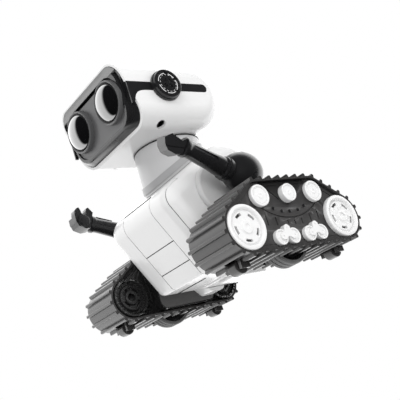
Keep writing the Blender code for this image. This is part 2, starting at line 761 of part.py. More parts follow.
def head():
    shell = head_body("head_shell")
    boolean(shell, as_cutter(head_body("head_inner", 2.5, 30.0)))
    post_hole = turned("post_hole", [(0, 20), (POST_R + 0.6, 20), (POST_R + 0.6, -20), (0, -20)], (0, 0, 0), 1, 32)
    post_hole.location = (0, NECK_Y * MM, HEAD_BOTTOM * MM)
    post_hole.rotation_euler = (0, 0, 0)
    boolean(shell, as_cutter(post_hole))
    for _, side in SIDES:
        boolean(shell, as_cutter(band_box("band_groove", side, (54.9 - FIT, 60), (-95, BAND_END), FIT)))
        boolean(shell, as_cutter(band_box("band_notch", side, (50, 60), (-95, BAND_ROOT), FIT)))
        boolean(shell, as_cutter(rod("ear_seat", 2.6 + FIT, 50, 60, EAR_Y, EAR_Z, side, 12)))
    finish(shell, "white")

    wall = 2.5 + FIT
    half = HEAD_HALF - wall
    low, high = HEAD_BOTTOM + wall, HEAD_TOP - wall
    sections = [
        face_ring(half, low, high, HEAD_EDGE - wall, lambda z: rim_y(z) + 6),
        face_ring(half, low, high, HEAD_EDGE - wall, lambda z: rim_y(z) - 0.5),
        face_ring(48.6, 158.4, 214.6, 17.3, lambda z: face_y(z) + 1.0),
        face_ring(47.8, 159.2, 213.8, 16.5, face_y),
    ]
    bezel = loft("face_bezel", sections)
    boolean(bezel, as_cutter(face_prism("bezel_opening", 45.6, 161.2, 209.0, 15.5, -20, 40)))
    boolean(bezel, as_cutter(face_prism("bezel_seat", 47.0, 160.0, 210.4, 16.0, 3.6, 5.8)))
    for _, side in SIDES:
        boolean(bezel, as_cutter(band_box("side_band", side, (54.9, 56.2), (BAND_FRONT, BAND_END))), "UNION")
        boolean(bezel, as_cutter(band_box("band_root", side, (50.5, 56.2), (BAND_FRONT, BAND_ROOT))), "UNION")
        boolean(bezel, as_cutter(rod("band_hole", 2.6 + FIT, 50, 60, EAR_Y, EAR_Z, side, 12)))
    finish(bezel, "black")

    plate_body = face_prism("face_plate", 45.6 - FIT, 161.2 + FIT, 209.0 - FIT, 15.2, 1.4, 4.4)
    ring_profile = [(0, 6.2), (EYE_RING_R - 1.2, 6.2), (EYE_RING_R - 0.4, 5.4), (EYE_RING_R, -2.0), (0, -2.0)]
    hole_profile = [(0, 20), (LENS_R + FIT, 20), (LENS_R + FIT, -20), (0, -20)]
    for profile, segments, operation in ((ring_profile, 28, "UNION"), (hole_profile, 25, "DIFFERENCE")):
        for _, side in SIDES:
            tool = turned("eye_tool", profile, (0, 0, 0), 1, segments)
            place_on_face(tool, side * EYE_X, EYE_Z)
            boolean(plate_body, as_cutter(tool), operation)
    finish(plate_body, "dark_grey")

    ring_space = [(0, 9), (EYE_RING_R + FIT, 9), (EYE_RING_R + FIT, -2.0 - FIT), (0, -2.0 - FIT)]
    for _, side in SIDES:
        space = turned("ring_space", ring_space, (0, 0, 0), 1, 28)
        place_on_face(space, side * EYE_X, EYE_Z)
        boolean(bezel, as_cutter(space))

    for side_name, side in SIDES:
        dome = [(0, 10.7), (6, 10.0), (11, 8.3), (14.6, 5.8), (LENS_R, 2.4), (LENS_R, -5.5), (0, -5.5)]
        lens = turned(side_name + "_eye_lens", dome, (0, 0, 0), 1, 28)
        place_on_face(lens, side * EYE_X, EYE_Z)
        finish(lens, "lens")
        x = HEAD_HALF + FIT
        disc = turned(side_name + "_ear_disc", [(0, x + 6.0), (9.0, x + 6.0), (9.4, x + 5.4), (11.0, x + 5.4),
                                                (11.4, x + 6.4), (EAR_R - 1, x + 6.4), (EAR_R, x + 5.4), (EAR_R, x),
                                                (2.6, x), (2.6, x - 3.8), (0, x - 3.8)],
                      (x + 2, EAR_Y, EAR_Z), side, 24)
        finish(disc, "black")


def place_on_face(obj, x, z):
    """Point a turned piece's outward axis out of the face, at a place on the face plate."""
    tilt = math.atan(FACE_SLOPE)
    obj.location = (x * MM, (face_y(z) + 1.4) * MM, z * MM)
    obj.rotation_euler = (math.pi / 2 + tilt, 0, 0)


# ---------------------------------------------------------------- arms

def aimed(obj, start, end):
    """Place a piece built along +Z so that it runs from start to end."""
    direction = Vector(end) - Vector(start)
    obj.location = Vector(start) * MM
    obj.rotation_euler = direction.to_track_quat("Z", "X").to_euler()
    return obj


def mirrored(point, side):
    return (side * point[0], point[1], point[2])


def shoulder_cap(name, side):
    bm = bmesh.new()
    bmesh.ops.create_uvsphere(bm, u_segments=20, v_segments=12, radius=1.0)
    bmesh.ops.scale(bm, vec=Vector(CAP_SIZE) * MM, verts=bm.verts)
    cap = mesh_from(bm, name)
    cap.location = Vector(mirrored(CAP_CENTRE, side)) * MM
    inner_face = TORSO_HALF + FIT + 4.5 + FIT
    boolean(cap, as_cutter(rod(name + "_face", 40, 40, inner_face, CAP_CENTRE[1], CAP_CENTRE[2], side)))
    boolean(cap, as_cutter(rod(name + "_bore", 5.6 + FIT, 50, 66 + FIT, SHOULDER[0], SHOULDER[1], side)))
    return finish(cap, "black")


def forearm(name, side):
    start, end = Vector(mirrored(ELBOW, side)), Vector(mirrored(WRIST, side))
    length = (end - start).length
    profile = [(0, length), (8.6, length), (8.4, length - 3), (7.4, length - 6), (8.6, 12), (9.4, 4),
               (9.4, 1), (10.6, 0.4), (10.6, -4), (9.0, -4.6), (0, -4.6)]
    tube = turned(name, profile, (0, 0, 0), 1, 20)
    aimed(tube, start, end)
    clear = shoulder_clear(name + "_clear", side)
    boolean(tube, clear)
    return finish(tube, "black")


def shoulder_clear(name, side):
    """The shoulder cap grown by the fitting gap."""
    bm = bmesh.new()
    bmesh.ops.create_uvsphere(bm, u_segments=20, v_segments=12, radius=1.0)
    bmesh.ops.scale(bm, vec=(Vector(CAP_SIZE) + Vector((FIT, FIT, FIT)) * 1.6) * MM, verts=bm.verts)
    obj = mesh_from(bm, name)
    obj.location = Vector(mirrored(CAP_CENTRE, side)) * MM
    return as_cutter(obj)


# The claw opens upward: its inner half shows a thick front finger, a thumb and a round boss, and its outer
# half is a solid back.
CLAW = [(-70.0, 108.5), (-63.1, 121.5), (-68.7, 129.6), (-71.7, 128.3), (-72.0, 123.4),
        (-74.7, 121.0), (-77.8, 125.3), (-78.6, 130.5), (-82.0, 129.8), (-85.2, 125.3),
        (-85.4, 116.7), (-83.3, 111.6), (-76.5, 108.1)]
HAND_BACK = [(-70.0, 108.5), (-63.1, 121.5), (-69.2, 119.1), (-78.0, 125.2), (-85.2, 122.4),
             (-85.4, 116.7), (-83.3, 111.6), (-76.5, 108.1)]
HAND_ROLL = {1: math.radians(-20), -1: 0.0}     # the left hand is turned in its wrist, as photographed
HAND_INNER = {1: HAND_BACK, -1: CLAW}           # and shows no open claw


def hand(name, side):
    start, end = Vector(mirrored(ELBOW, side)), Vector(mirrored(WRIST, side))
    direction = (end - start).normalized()
    roll = Matrix.Translation(end * MM) @ Matrix.Rotation(HAND_ROLL[side], 4, direction) @ Matrix.Translation(-end * MM)

    def rolled(obj):
        obj.matrix_world = roll @ obj.matrix_basis
        return obj

    claw = rolled(plate(name, HAND_INNER[side][::-1], WRIST[0] - 8.2, WRIST[0] - 1.0, side))
    back = rolled(plate(name + "_back", HAND_BACK[::-1], WRIST[0] - 1.5, WRIST[0] + 5.8, side))
    boss = rolled(rod(name + "_boss", 6.5, WRIST[0] - 9.8, WRIST[0] - 5.0, -77.4, 116.0, side))
    boolean(claw, as_cutter(back), "UNION")
    boolean(claw, as_cutter(boss), "UNION")
    clear = turned(name + "_wrist", [(0, 0), (12, 0), (12, -14), (0, -14)], (0, 0, 0), 1, 20)
    aimed(clear, end + direction * FIT, end + direction * 10)
    boolean(claw, as_cutter(clear))
    return finish(claw, "black", smooth=False)


def arm(side_name, side):
    shoulder_cap(side_name + "_shoulder_cap", side)
    forearm(side_name + "_forearm", side)
    hand(side_name + "_hand", side)


for label, sign in SIDES:
    pod(label, sign)
    hip_link(label + "_hip_link", sign)
    shoulder_socket(label + "_shoulder_socket", sign)
    arm(label, sign)
torso()
power_switch()
neck()
head()


# ---------------------------------------------------------------- joint axes

def pivot(name, place, nodes):
    """An empty on a joint's axis, with the pieces that move with it as its children."""
    empty = bpy.data.objects.new(name, None)
    empty.location = Vector(place) * MM
    bpy.context.scene.collection.objects.link(empty)
    for node in nodes:
        obj = bpy.data.objects[node]
        obj.parent = empty
        obj.matrix_parent_inverse = Matrix.Translation(empty.location).inverted()
    return empty


def joint_pivots():
    pieces = ["head_shell", "face_bezel", "face_plate"]
    pieces += [side + piece for side in ("left_", "right_") for piece in ("eye_lens", "ear_disc")]
    pivot("head_pivot", (0, NECK_Y, HEAD_BOTTOM), pieces)
    for side_name, side in SIDES:
        arm_pieces = [side_name + piece for piece in ("_shoulder_cap", "_forearm", "_hand")]
        pivot(side_name + "_shoulder_pivot", (side * 60, *SHOULDER), arm_pieces)
        wheel_pieces = [side_name + "_drive_wheel", side_name + "_drive_tyre"]
        pivot(side_name + "_drive_pivot", (side * 91, 0, DRIVE_R), wheel_pieces)
        pivot(side_name + "_pinion_pivot", (side * GEAR_X[1], 0, MOTOR_Z), [side_name + "_motor_pinion"])


joint_pivots()
for obj in bpy.data.objects:
    if obj.parent is None:
        obj.location.y += CENTRE_SHIFT * MM
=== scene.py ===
"""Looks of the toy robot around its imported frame: shells, wheels, arms, materials, light and camera.

Shapes are built in millimetres in the toy's own frame, with Y measured from the middle of the wheelbase,
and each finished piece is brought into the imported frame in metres.
"""

import math

import bmesh
import bpy
from mathutils import Matrix, Vector

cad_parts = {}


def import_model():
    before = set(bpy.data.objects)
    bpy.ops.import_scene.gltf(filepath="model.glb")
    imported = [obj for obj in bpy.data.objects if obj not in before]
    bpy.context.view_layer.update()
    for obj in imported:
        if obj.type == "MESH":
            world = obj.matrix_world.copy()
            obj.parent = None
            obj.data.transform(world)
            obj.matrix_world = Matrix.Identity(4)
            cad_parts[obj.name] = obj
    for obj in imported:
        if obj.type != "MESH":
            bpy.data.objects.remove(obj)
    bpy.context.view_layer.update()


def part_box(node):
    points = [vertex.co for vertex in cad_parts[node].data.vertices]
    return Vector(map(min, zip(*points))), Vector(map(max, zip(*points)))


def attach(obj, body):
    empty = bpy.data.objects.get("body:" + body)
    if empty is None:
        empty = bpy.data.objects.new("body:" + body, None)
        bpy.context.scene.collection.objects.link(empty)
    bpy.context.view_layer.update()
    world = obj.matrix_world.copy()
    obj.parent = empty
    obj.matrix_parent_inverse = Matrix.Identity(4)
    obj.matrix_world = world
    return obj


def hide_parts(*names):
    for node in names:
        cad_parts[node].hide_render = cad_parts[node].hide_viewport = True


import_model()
MM = 0.001
FIT = 0.3               # gap between touching pieces


def low_high(node):
    """A node's two corners in millimetres."""
    low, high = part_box(node)
    return low / MM, high / MM


def middle(node):
    low, high = low_high(node)
    return (low + high) / 2


# ---------------------------------------------------------------- sizes, read from the frame where it shows them

CENTRE_Y = (middle("left_front_wheel").y + middle("left_rear_wheel").y) / 2
HALF_BASE = middle("left_rear_wheel").y - CENTRE_Y
AXLE_Z = middle("left_front_wheel").z
UPPER_Y = middle("left_upper_wheel_rear").y - CENTRE_Y
UPPER_Z = middle("left_upper_wheel_rear").z
END_R = 21.2
TOP_R = 14.0
TREAD = 2.6
BELT_T = 1.7
TREAD_BARS = 36
BAR_W = 3.6
POD_IN = low_high("left_track_shell")[0].x
POD_OUT = low_high("left_track_shell")[1].x
PLATE_FACE = 111.6
PLATE_T = 2.6
COVER_FACE = 67.4
COVER_T = 2.2
BOX_FACE = 58.0         # inner face of the box raised on the inner cover
BOX_CIRCLES = ((-22, 21, 8.5), (28, 21, 8.5), (22, 54, 8.5), (-22, 54, 8.5))
BOGIE_Z = 19.2
BOGIE_Y = (9.6, 23.8)
BOGIE_R = 6.6
DRIVE_R = middle("left_drive_tyre").z
DRIVE_IN, DRIVE_OUT = (corner.x for corner in low_high("left_drive_tyre"))
ROLLER_R = middle("left_front_roller").z
ROLLER_X = middle("left_front_roller").x
ROLLER_W = 11.0
GEAR_INNER = 80.2

LEAN = math.radians(29.5)
TORSO_HALF = low_high("torso_shell")[1].x
TORSO_EDGE = 15.0
WALL = 2.6
BIB_HALF = 45.6
CHEST_HALF = 22.8
PANEL_T = 1.2
GROOVES_UP = (32.4, 53.9, 75.6)
CHEST_TOP = 116.2       # upper end of the chest panel, up the leaning front
GROOVE = 0.8
SEAM = 0.7              # visible gap around the front cover and the chest panel
DOOR_Y = (4.0, 54.0)
FRONT_BACK = -22.1
TOP_UP = 117.1
REAR_BACK = 103.0

NECK_Y = middle("neck").y - CENTRE_Y
NECK_R = 32.3
NECK_TOP = 153.9
POST_R = 7.5
SCREW_WELL = (45.9, -48.6, 155.9)
HEAD_HALF = low_high("head_shell")[1].x
HEAD_EDGE = 18.0
FACE_STEPS = 12         # steps around a rounded corner of the head and face
HEAD_BOTTOM, HEAD_TOP = (corner.z for corner in low_high("head_shell"))
HEAD_BACK_Y = -4.8
EYE_X = middle("left_eye_lens").x
EYE_Z = 187.6
EYE_RING_R = 20.3
LENS_R = 17.0
EAR_Y = middle("left_ear_disc").y - CENTRE_Y
EAR_Z = middle("left_ear_disc").z
EAR_R = 14.7
BAND_H = 8.0
BAND_FRONT = -79.0
BAND_ROOT = -74.0
BAND_END = 9.0
FACE_SLOPE = 5.2 / 58.7
RIM_SLOPE = 19.0 / 67.0

SHOULDER = (-6.0, 92.0)
SOCKET = (-14.0, 88.0)
SOCKET_R = 25.0
CAP_CENTRE = Vector((75.0, -2.0, 93.6))
CAP_SIZE = Vector((15.5, 21.5, 18.6))
ELBOW = Vector((77.5, -23.5, 96.8))
WRIST = Vector((84.4, -67.0, 115.0))
HAND_ROLL = {"left": math.radians(-20), "right": 0.0}    # the left hand is turned in its wrist, as photographed


# ---------------------------------------------------------------- materials

def plastic(name, colour, roughness, coat=0.0, speckle=0.03, cloud=0.06, grain=0.06, edge=0.0, metallic=0.0):
    """Moulded plastic or metal: slight cloudiness, fine speckle, a moulded grain and paler edges, partly wear and
    partly a painted edge highlight.
    """
    mat = bpy.data.materials.new(name)
    mat.use_nodes = True
    nodes, links = mat.node_tree.nodes, mat.node_tree.links
    shader = nodes["Principled BSDF"]
    shader.inputs["Metallic"].default_value = metallic
    shader.inputs["Coat Weight"].default_value = coat
    shader.inputs["Coat Roughness"].default_value = 0.08
    place = nodes.new("ShaderNodeTexCoord")

    def noise(scale, detail):
        node = nodes.new("ShaderNodeTexNoise")
        node.inputs["Scale"].default_value = scale
        node.inputs["Detail"].default_value = detail
        links.new(place.outputs["Object"], node.inputs["Vector"])
        return node.outputs["Fac"]

    def mix(factor, a, b):
        node = nodes.new("ShaderNodeMix")
        node.data_type = "RGBA"
        for socket, value in ((node.inputs[0], factor), (node.inputs[6], a), (node.inputs[7], b)):
            if isinstance(value, bpy.types.NodeSocket):
                links.new(value, socket)
            else:
                socket.default_value = value
        return node.outputs[2]

    def shade(factor):
        return tuple(min(c * factor, 1.0) for c in colour[:3]) + (1.0,)

    broad, fine = noise(28.0, 2.0), noise(1400.0, 1.0)
    base = mix(broad, shade(1 - cloud), shade(1 + cloud))
    tone = mix(fine, shade(1 - cloud - speckle), base)
    base = mix(0.5, tone, base)
    # Paler convex edges read from pointiness: partly wear, partly a painted highlight along the edges.
    if edge:
        geometry = nodes.new("ShaderNodeNewGeometry")
        ramp = nodes.new("ShaderNodeMapRange")
        ramp.inputs["From Min"].default_value = 0.52
        ramp.inputs["From Max"].default_value = 0.62
        ramp.inputs["To Max"].default_value = edge
        links.new(geometry.outputs["Pointiness"], ramp.inputs["Value"])
        base = mix(ramp.outputs["Result"], base, shade(3.0))
    links.new(base, shader.inputs["Base Color"])
    spread = nodes.new("ShaderNodeMapRange")
    spread.inputs["To Min"].default_value = roughness * 0.85
    spread.inputs["To Max"].default_value = roughness * 1.2
    links.new(broad, spread.inputs["Value"])
    links.new(spread.outputs["Result"], shader.inputs["Roughness"])
    bump = nodes.new("ShaderNodeBump")
    bump.inputs["Strength"].default_value = grain
    bump.inputs["Distance"].default_value = 0.0002
    links.new(fine, bump.inputs["Height"])
    links.new(bump.outputs["Normal"], shader.inputs["Normal"])
    return mat


LOOKS = {
    "white": plastic("white_gloss", (0.78, 0.78, 0.78, 1), 0.24, coat=0.3, cloud=0.012, speckle=0.01, grain=0.03),
    "trim": plastic("white_trim", (0.80, 0.80, 0.80, 1), 0.3, coat=0.2, cloud=0.015, speckle=0.01, grain=0.04),
    "light_grey": plastic("light_grey_satin", (0.55, 0.55, 0.555, 1), 0.34, coat=0.1, cloud=0.03, grain=0.05),
    "pale_grey": plastic("pale_grey_satin", (0.62, 0.62, 0.62, 1), 0.34, coat=0.1, cloud=0.03, grain=0.05),
    "neck_band": plastic("neck_band_grey", (0.36, 0.36, 0.365, 1), 0.36, cloud=0.03, grain=0.05),
    "dark_grey": plastic("dark_grey_satin", (0.034, 0.033, 0.033, 1), 0.3, coat=0.2, grain=0.14, edge=0.3),
    "face_grey": plastic("face_grey_satin", (0.10, 0.10, 0.102, 1), 0.4, grain=0.12, edge=0.1),
    "brow_grey": plastic("brow_grey_satin", (0.24, 0.24, 0.24, 1), 0.38, grain=0.08),
    "box_grey": plastic("box_grey_satin", (0.085, 0.084, 0.084, 1), 0.4, grain=0.1),
    "cover": plastic("cover_black_gloss", (0.012, 0.012, 0.012, 1), 0.2, coat=0.4, grain=0.06, edge=0.25),
    "black": plastic("black_satin", (0.014, 0.014, 0.015, 1), 0.27, coat=0.2, grain=0.08, edge=0.25),
    "seam": plastic("seam_painted_shade", (0.004, 0.004, 0.004, 1), 0.7, grain=0.0),
    # Near-black for the panel gaps and groove bottoms: painted shade.
    "lens": plastic("lens_gloss", (0.003, 0.003, 0.004, 1), 0.04, coat=1.0, grain=0.0, cloud=0.1),
    "rubber": plastic("tyre_rubber", (0.12, 0.12, 0.12, 1), 0.6, grain=0.5, cloud=0.1, edge=0.15),
    "metal": plastic("brushed_steel", (0.55, 0.55, 0.56, 1), 0.32, grain=0.15, metallic=1.0),
    "mark": plastic("ear_mark", (0.75, 0.75, 0.75, 1), 0.4, grain=0.05),
    "board": plastic("board_green", (0.02, 0.14, 0.06, 1), 0.45, grain=0.1),
    "sleeve": plastic("battery_blue", (0.03, 0.1, 0.35, 1), 0.3, coat=0.4, grain=0.05),
}
LOOKS["lens"].node_tree.nodes["Principled BSDF"].inputs["IOR"].default_value = 2.3


# ---------------------------------------------------------------- shape makers, in millimetres

WORKSHOP = []


def made(bm, name="shape"):
    """A shape on the workbench: it is cut and joined there, and taken away at the end."""
    bmesh.ops.recalc_face_normals(bm, faces=bm.faces)
    mesh = bpy.data.meshes.new(name)
    bm.to_mesh(mesh)
    bm.free()
    obj = bpy.data.objects.new(name, mesh)
    bpy.context.scene.collection.objects.link(obj)
    WORKSHOP.append(obj)
    return obj


def change(obj, tool, operation):
    mod = obj.modifiers.new(operation, "BOOLEAN")
    mod.operation = operation
    mod.solver = "EXACT"
    mod.object = tool
    return obj


def cut(obj, *tools):
    for tool in tools:
        change(obj, tool, "DIFFERENCE")
    return obj


def join(obj, *tools):
    for tool in tools:
        change(obj, tool, "UNION")
    return obj


def baked(obj):
    """The object's evaluated mesh, with its cuts and joins done."""
    graph = bpy.context.evaluated_depsgraph_get()
    graph.update()
    return bpy.data.meshes.new_from_object(obj.evaluated_get(graph))


def together(*objs):
    """One object of several loose shapes."""
    bm = bmesh.new()
    for obj in objs:
        mesh = baked(obj)
        bm.from_mesh(mesh)
    return made(bm)


def block(x, y, z):
    bm = bmesh.new()
    bmesh.ops.create_cube(bm, size=1.0)
    bmesh.ops.scale(bm, vec=(x[1] - x[0], y[1] - y[0], z[1] - z[0]), verts=bm.verts)
    bmesh.ops.translate(bm, vec=((x[0] + x[1]) / 2, (y[0] + y[1]) / 2, (z[0] + z[1]) / 2), verts=bm.verts)
    return made(bm)


def moved(obj, matrix):
    obj.data.transform(matrix)
    return obj


def turned(profile, y=0.0, z=0.0, segments=72):
    """A piece turned around an X axis from (radius, x) points, listed from the outer face inward."""
    bm = bmesh.new()
    closed = profile[0] == profile[-1]
    points = profile[:-1] if closed else profile
    verts = [bm.verts.new((x, r, 0)) for r, x in points]
    following = verts[1:] + (verts[:1] if closed else [])
    edges = [bm.edges.new(pair) for pair in zip(verts, following)]
    bmesh.ops.spin(bm, geom=verts + edges, cent=(0, 0, 0), axis=(1, 0, 0), angle=2 * math.pi,
                   steps=segments, use_merge=True)
    bmesh.ops.remove_doubles(bm, verts=bm.verts, dist=0.001)
    bmesh.ops.translate(bm, vec=(0, y, z), verts=bm.verts)
    return made(bm)


def rod(radius, x0, x1, y=0.0, z=0.0, segments=40):
    return turned([(0, x1), (radius, x1), (radius, x0), (0, x0)], y, z, segments)


def loft(sections):
    """A closed body through rings of equal point count."""
    bm = bmesh.new()
    rings = [[bm.verts.new(p) for p in ring] for ring in sections]
    count = len(rings[0])
    for near, far in zip(rings, rings[1:]):
        for i in range(count):
            j = (i + 1) % count
            bm.faces.new((near[i], near[j], far[j], far[i]))
    bm.faces.new(rings[0])
    bm.faces.new(list(reversed(rings[-1])))
    return made(bm)


def plate(outline, x0, x1):
    """A YZ outline between two distances along X."""
    return loft([[(x, y, z) for y, z in outline] for x in (x0, x1)])


def arc(cy, cz, radius, start, end, steps):
    angles = [start + (end - start) * i / steps for i in range(steps + 1)]
    return [(cy + radius * math.cos(a), cz + radius * math.sin(a)) for a in angles]


def sector(cy, cz, inner, outer, start, end, x0, x1, steps=12):
    """A curved slot's shape: a stretch of a flat ring."""
    outline = arc(cy, cz, outer, start, end, steps) + arc(cy, cz, inner, end, start, steps)
    return plate(outline, x0, x1)


def stripe(points, width, x0, x1):
    """A groove cutter that follows points (y, z)."""
    left, right = [], []
    for i, point in enumerate(points):
        before, after = Vector(points[max(i - 1, 0)]), Vector(points[min(i + 1, len(points) - 1)])
        along = (after - before).normalized()
        across = Vector((-along.y, along.x)) * width / 2
        left.append(tuple(Vector(point) + across))
        right.append(tuple(Vector(point) - across))
    return plate(left + right[::-1], x0, x1)


def hull_normals(circles):
    normals = []
    for (y0, z0, r0), (y1, z1, r1) in zip(circles, circles[1:] + circles[:1]):
        gap = math.hypot(y1 - y0, z1 - z0)
        normals.append(math.atan2(z1 - z0, y1 - y0) - math.acos((r0 - r1) / gap))
    return normals


def belt_runs(circles):
    """Each circle with the angle where the belt meets it, its sweep, and the straight run after it."""
    normals = hull_normals(circles)
    runs = []
    for i, (y, z, r) in enumerate(circles):
        sweep = (normals[i] - normals[i - 1]) % (2 * math.pi)
        y1, z1, r1 = circles[(i + 1) % len(circles)]
        straight = math.sqrt((y1 - y) ** 2 + (z1 - z) ** 2 - (r - r1) ** 2)
        runs.append((y, z, r, normals[i - 1], sweep, straight))
    return runs


def belt_outline(circles, steps=12):
    points = []
    for y, z, r, start, sweep, _ in belt_runs(circles):
        points += arc(y, z, r, start, start + sweep, steps)
    return points


def rounded_outline(corners, inset=0.0, steps=10):
    """A convex outline of (y, z, radius) corners, counter-clockwise, moved inward by inset."""
    lines = []
    count = len(corners)
    for i in range(count):
        a, b = Vector(corners[i][:2]), Vector(corners[(i + 1) % count][:2])
        along = (b - a).normalized()
        lines.append((a + Vector((-along.y, along.x)) * inset, along))
    points = []
    for i in range(count):
        (p, u), (q, v) = lines[i - 1], lines[i]
        reach = ((q - p).x * v.y - (q - p).y * v.x) / (u.x * v.y - u.y * v.x)
        corner = p + u * reach
        radius = max(corners[i][2] - inset, 0.5)
        half = math.acos(max(-1.0, min(1.0, u.dot(v)))) / 2
        start = corner - u * radius * math.tan(half)
        centre = start + Vector((-u.y, u.x)) * radius
        first = math.atan2(start.y - centre.y, start.x - centre.x)
        points += arc(centre.x, centre.y, radius, first, first + 2 * half, steps)
    return points


def rounded_body(outline_at, half_width, edge, inset=0.0, steps=7):
    """A body of a YZ outline with rounded side edges; outline_at(inset) gives each section."""
    edge = max(edge - inset, 0.5)
    flat = half_width - inset - edge
    turns = [math.pi / 2 * i / steps for i in range(steps + 1)]
    left = [(flat + edge * math.sin(a), edge * (1 - math.cos(a))) for a in turns]
    right = [(-x, extra) for x, extra in reversed(left)]
    return loft([[(x, y, z) for y, z in outline_at(inset + extra)] for x, extra in right + left])


# ---------------------------------------------------------------- finished pieces

def piece(shape, name, body, look, replaced=(), bevel=0.3, flip=False):
    """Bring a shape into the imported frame, round its edges, paint it and let it ride on its body."""
    mesh = baked(shape)
    side = -1 if flip else 1
    to_frame = Matrix.Translation((0, CENTRE_Y * MM, 0)) @ Matrix.Diagonal((side * MM, MM, MM, 1))
    mesh.transform(to_frame)
    if flip:
        mesh.flip_normals()
    obj = bpy.data.objects.new(name, mesh)
    bpy.context.scene.collection.objects.link(obj)
    mesh.materials.clear()
    mesh.materials.append(LOOKS[look])
    mesh.shade_smooth()
    if bevel:
        rounding = obj.modifiers.new("edges", "BEVEL")
        rounding.width = bevel * MM
        rounding.segments = 2
        rounding.limit_method = "ANGLE"
        rounding.angle_limit = math.radians(38)
    normals = obj.modifiers.new("normals", "WEIGHTED_NORMAL")
    normals.keep_sharp = True
    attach(obj, body)
    if replaced:
        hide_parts(*replaced)
    return obj


def single(shape, node, body, look, bevel=0.3):
    return piece(shape, node + "_fine", body, look, (node,), bevel)


def pair(shape, node, body, look, bevel=0.3, replaces_node=True):
    """The same shape on both sides of the robot; body may hold {side}."""
    for side, flip in (("left", False), ("right", True)):
        replaced = (side + "_" + node,) if replaces_node else ()
        piece(shape, side + "_" + node + "_fine", body.format(side=side), look, replaced, bevel, flip)


# ---------------------------------------------------------------- track pods

def pod_circles(offset):
    return [(-HALF_BASE, AXLE_Z, END_R + offset), (HALF_BASE, AXLE_Z, END_R + offset),
            (UPPER_Y, UPPER_Z, TOP_R + offset), (-UPPER_Y, UPPER_Z, TOP_R + offset)]


def belt_ring():
    """The moulded belt with rounded tread bars, as one band around the pod."""
    runs = belt_runs(pod_circles(0))
    length = sum(r * sweep + straight for _, _, r, _, sweep, straight in runs)

    def at(distance, height):
        distance %= length
        for y, z, r, start, sweep, straight in runs:
            bend = r * sweep
            if distance > bend + straight:
                distance -= bend + straight
                continue
            angle = start + min(distance / bend, 1.0) * sweep
            ahead = max(distance - bend, 0.0)
            reach = r + height
            return (y + reach * math.cos(angle) - ahead * math.sin(angle),
                    z + reach * math.sin(angle) + ahead * math.cos(angle))
        return at(0.0, height)

    pitch = length / TREAD_BARS
    gap = (pitch - BAR_W) / 4
    bar = [(0, 0), (0.45, TREAD - 0.7), (0.75, TREAD - 0.2), (1.2, TREAD), (BAR_W - 1.2, TREAD),
           (BAR_W - 0.75, TREAD - 0.2), (BAR_W - 0.45, TREAD - 0.7), (BAR_W, 0)]
    bar += [(BAR_W + gap * i, 0) for i in (1, 2, 3)]
    walk = [(i * pitch + step, height) for i in range(TREAD_BARS) for step, height in bar]
    bm = bmesh.new()
    rings = []
    for distance, height in walk:
        outer, inner = at(distance, height), at(distance, -BELT_T)
        corners = ((POD_IN, outer), (POD_OUT, outer), (POD_OUT, inner), (POD_IN, inner))
        rings.append([bm.verts.new((x, y, z)) for x, (y, z) in corners])
    for near, far in zip(rings, rings[1:] + rings[:1]):
        for i in range(4):
            j = (i + 1) % 4
            bm.faces.new((near[i], far[i], far[j], near[j]))
    return made(bm)


def track_shell():
    shell = belt_ring()
    reach = math.sqrt(DRIVE_R ** 2 - (DRIVE_R - 12) ** 2) + 2.5
    cut(shell, block((GEAR_INNER - 1.4, DRIVE_OUT + 2), (-reach, reach), (2, 14)))
    for y in (-HALF_BASE, HALF_BASE):
        for end in (-1, 1):
            x0 = ROLLER_X + end * (ROLLER_W / 2 + 1.2)
            join(shell, block(sorted((x0, x0 + end * 3.2)), (y - 4.5, y + 4.5), (3.4, 12.0)))
        half = ROLLER_W / 2
        cut(shell, block((ROLLER_X - half - 0.8, ROLLER_X + half + 0.8), (y - ROLLER_R - 1.2, y + ROLLER_R + 1.2),
                         (-2, 16)))
        cut(shell, rod(1.9, ROLLER_X - half - 3, ROLLER_X + half + 3, y, ROLLER_R, 20))
    pair(shell, "track_shell", "base", "dark_grey", 0.25)


def side_plate():
    panel = plate(belt_outline(pod_circles(-BELT_T - FIT)), PLATE_FACE - PLATE_T, PLATE_FACE)
    join(panel, rod(4.2, 102.0, PLATE_FACE - 1.0, 0, DRIVE_R))
    cut(panel, rod(2.3, 101.0, PLATE_FACE - 1.4, 0, DRIVE_R))
    depth = (PLATE_FACE - 0.9, PLATE_FACE + 2)
    sag = arc(0.0, 89.0, 53.5, math.radians(228), math.radians(312), 24)
    cut(panel, stripe(sag, 0.9, *depth))
    cut(panel, stripe([(26.0, 68.0), (17.0, 59.5), (8.5, 51.5)], 1.3, *depth))
    cut(panel, stripe([(-26.0, 68.0), (-17.0, 59.5), (-8.5, 51.5)], 1.3, *depth))
    for y, z, tall in ((-30, 35.0, 8), (-20, 33.6, 7), (-7.5, 31.8, 3.5), (0.5, 31.4, 4), (9, 31.8, 4.5),
                       (20, 33.6, 7), (30, 35.0, 8)):
        cut(panel, block(depth, (y - 0.55, y + 0.55), (z - tall / 2, z + tall / 2)))
    groove_edge = belt_outline(pod_circles(-BELT_T - 3.2))
    inner_edge = belt_outline(pod_circles(-BELT_T - 3.9))
    rim = plate(groove_edge, PLATE_FACE - 0.5, PLATE_FACE + 2)
    cut(panel, cut(rim, plate(inner_edge, PLATE_FACE - 2, PLATE_FACE + 4)))
    pair(panel, "side_plate", "base", "dark_grey", 0.15)
    studs = []
    for y, z in ((-18.8, 44.8), (-10.3, 41.6), (-1.4, 40.9), (8.7, 41.6), (17.2, 44.5)):
        head = [(0, PLATE_FACE + 1.2), (0.9, PLATE_FACE + 1.1), (1.4, PLATE_FACE + 0.6), (1.5, PLATE_FACE - 0.3),
                (0, PLATE_FACE - 0.3)]
        studs.append(turned(head, y, z, 24))
    pair(together(*studs), "plate_rivets", "base", "black", 0.0, False)


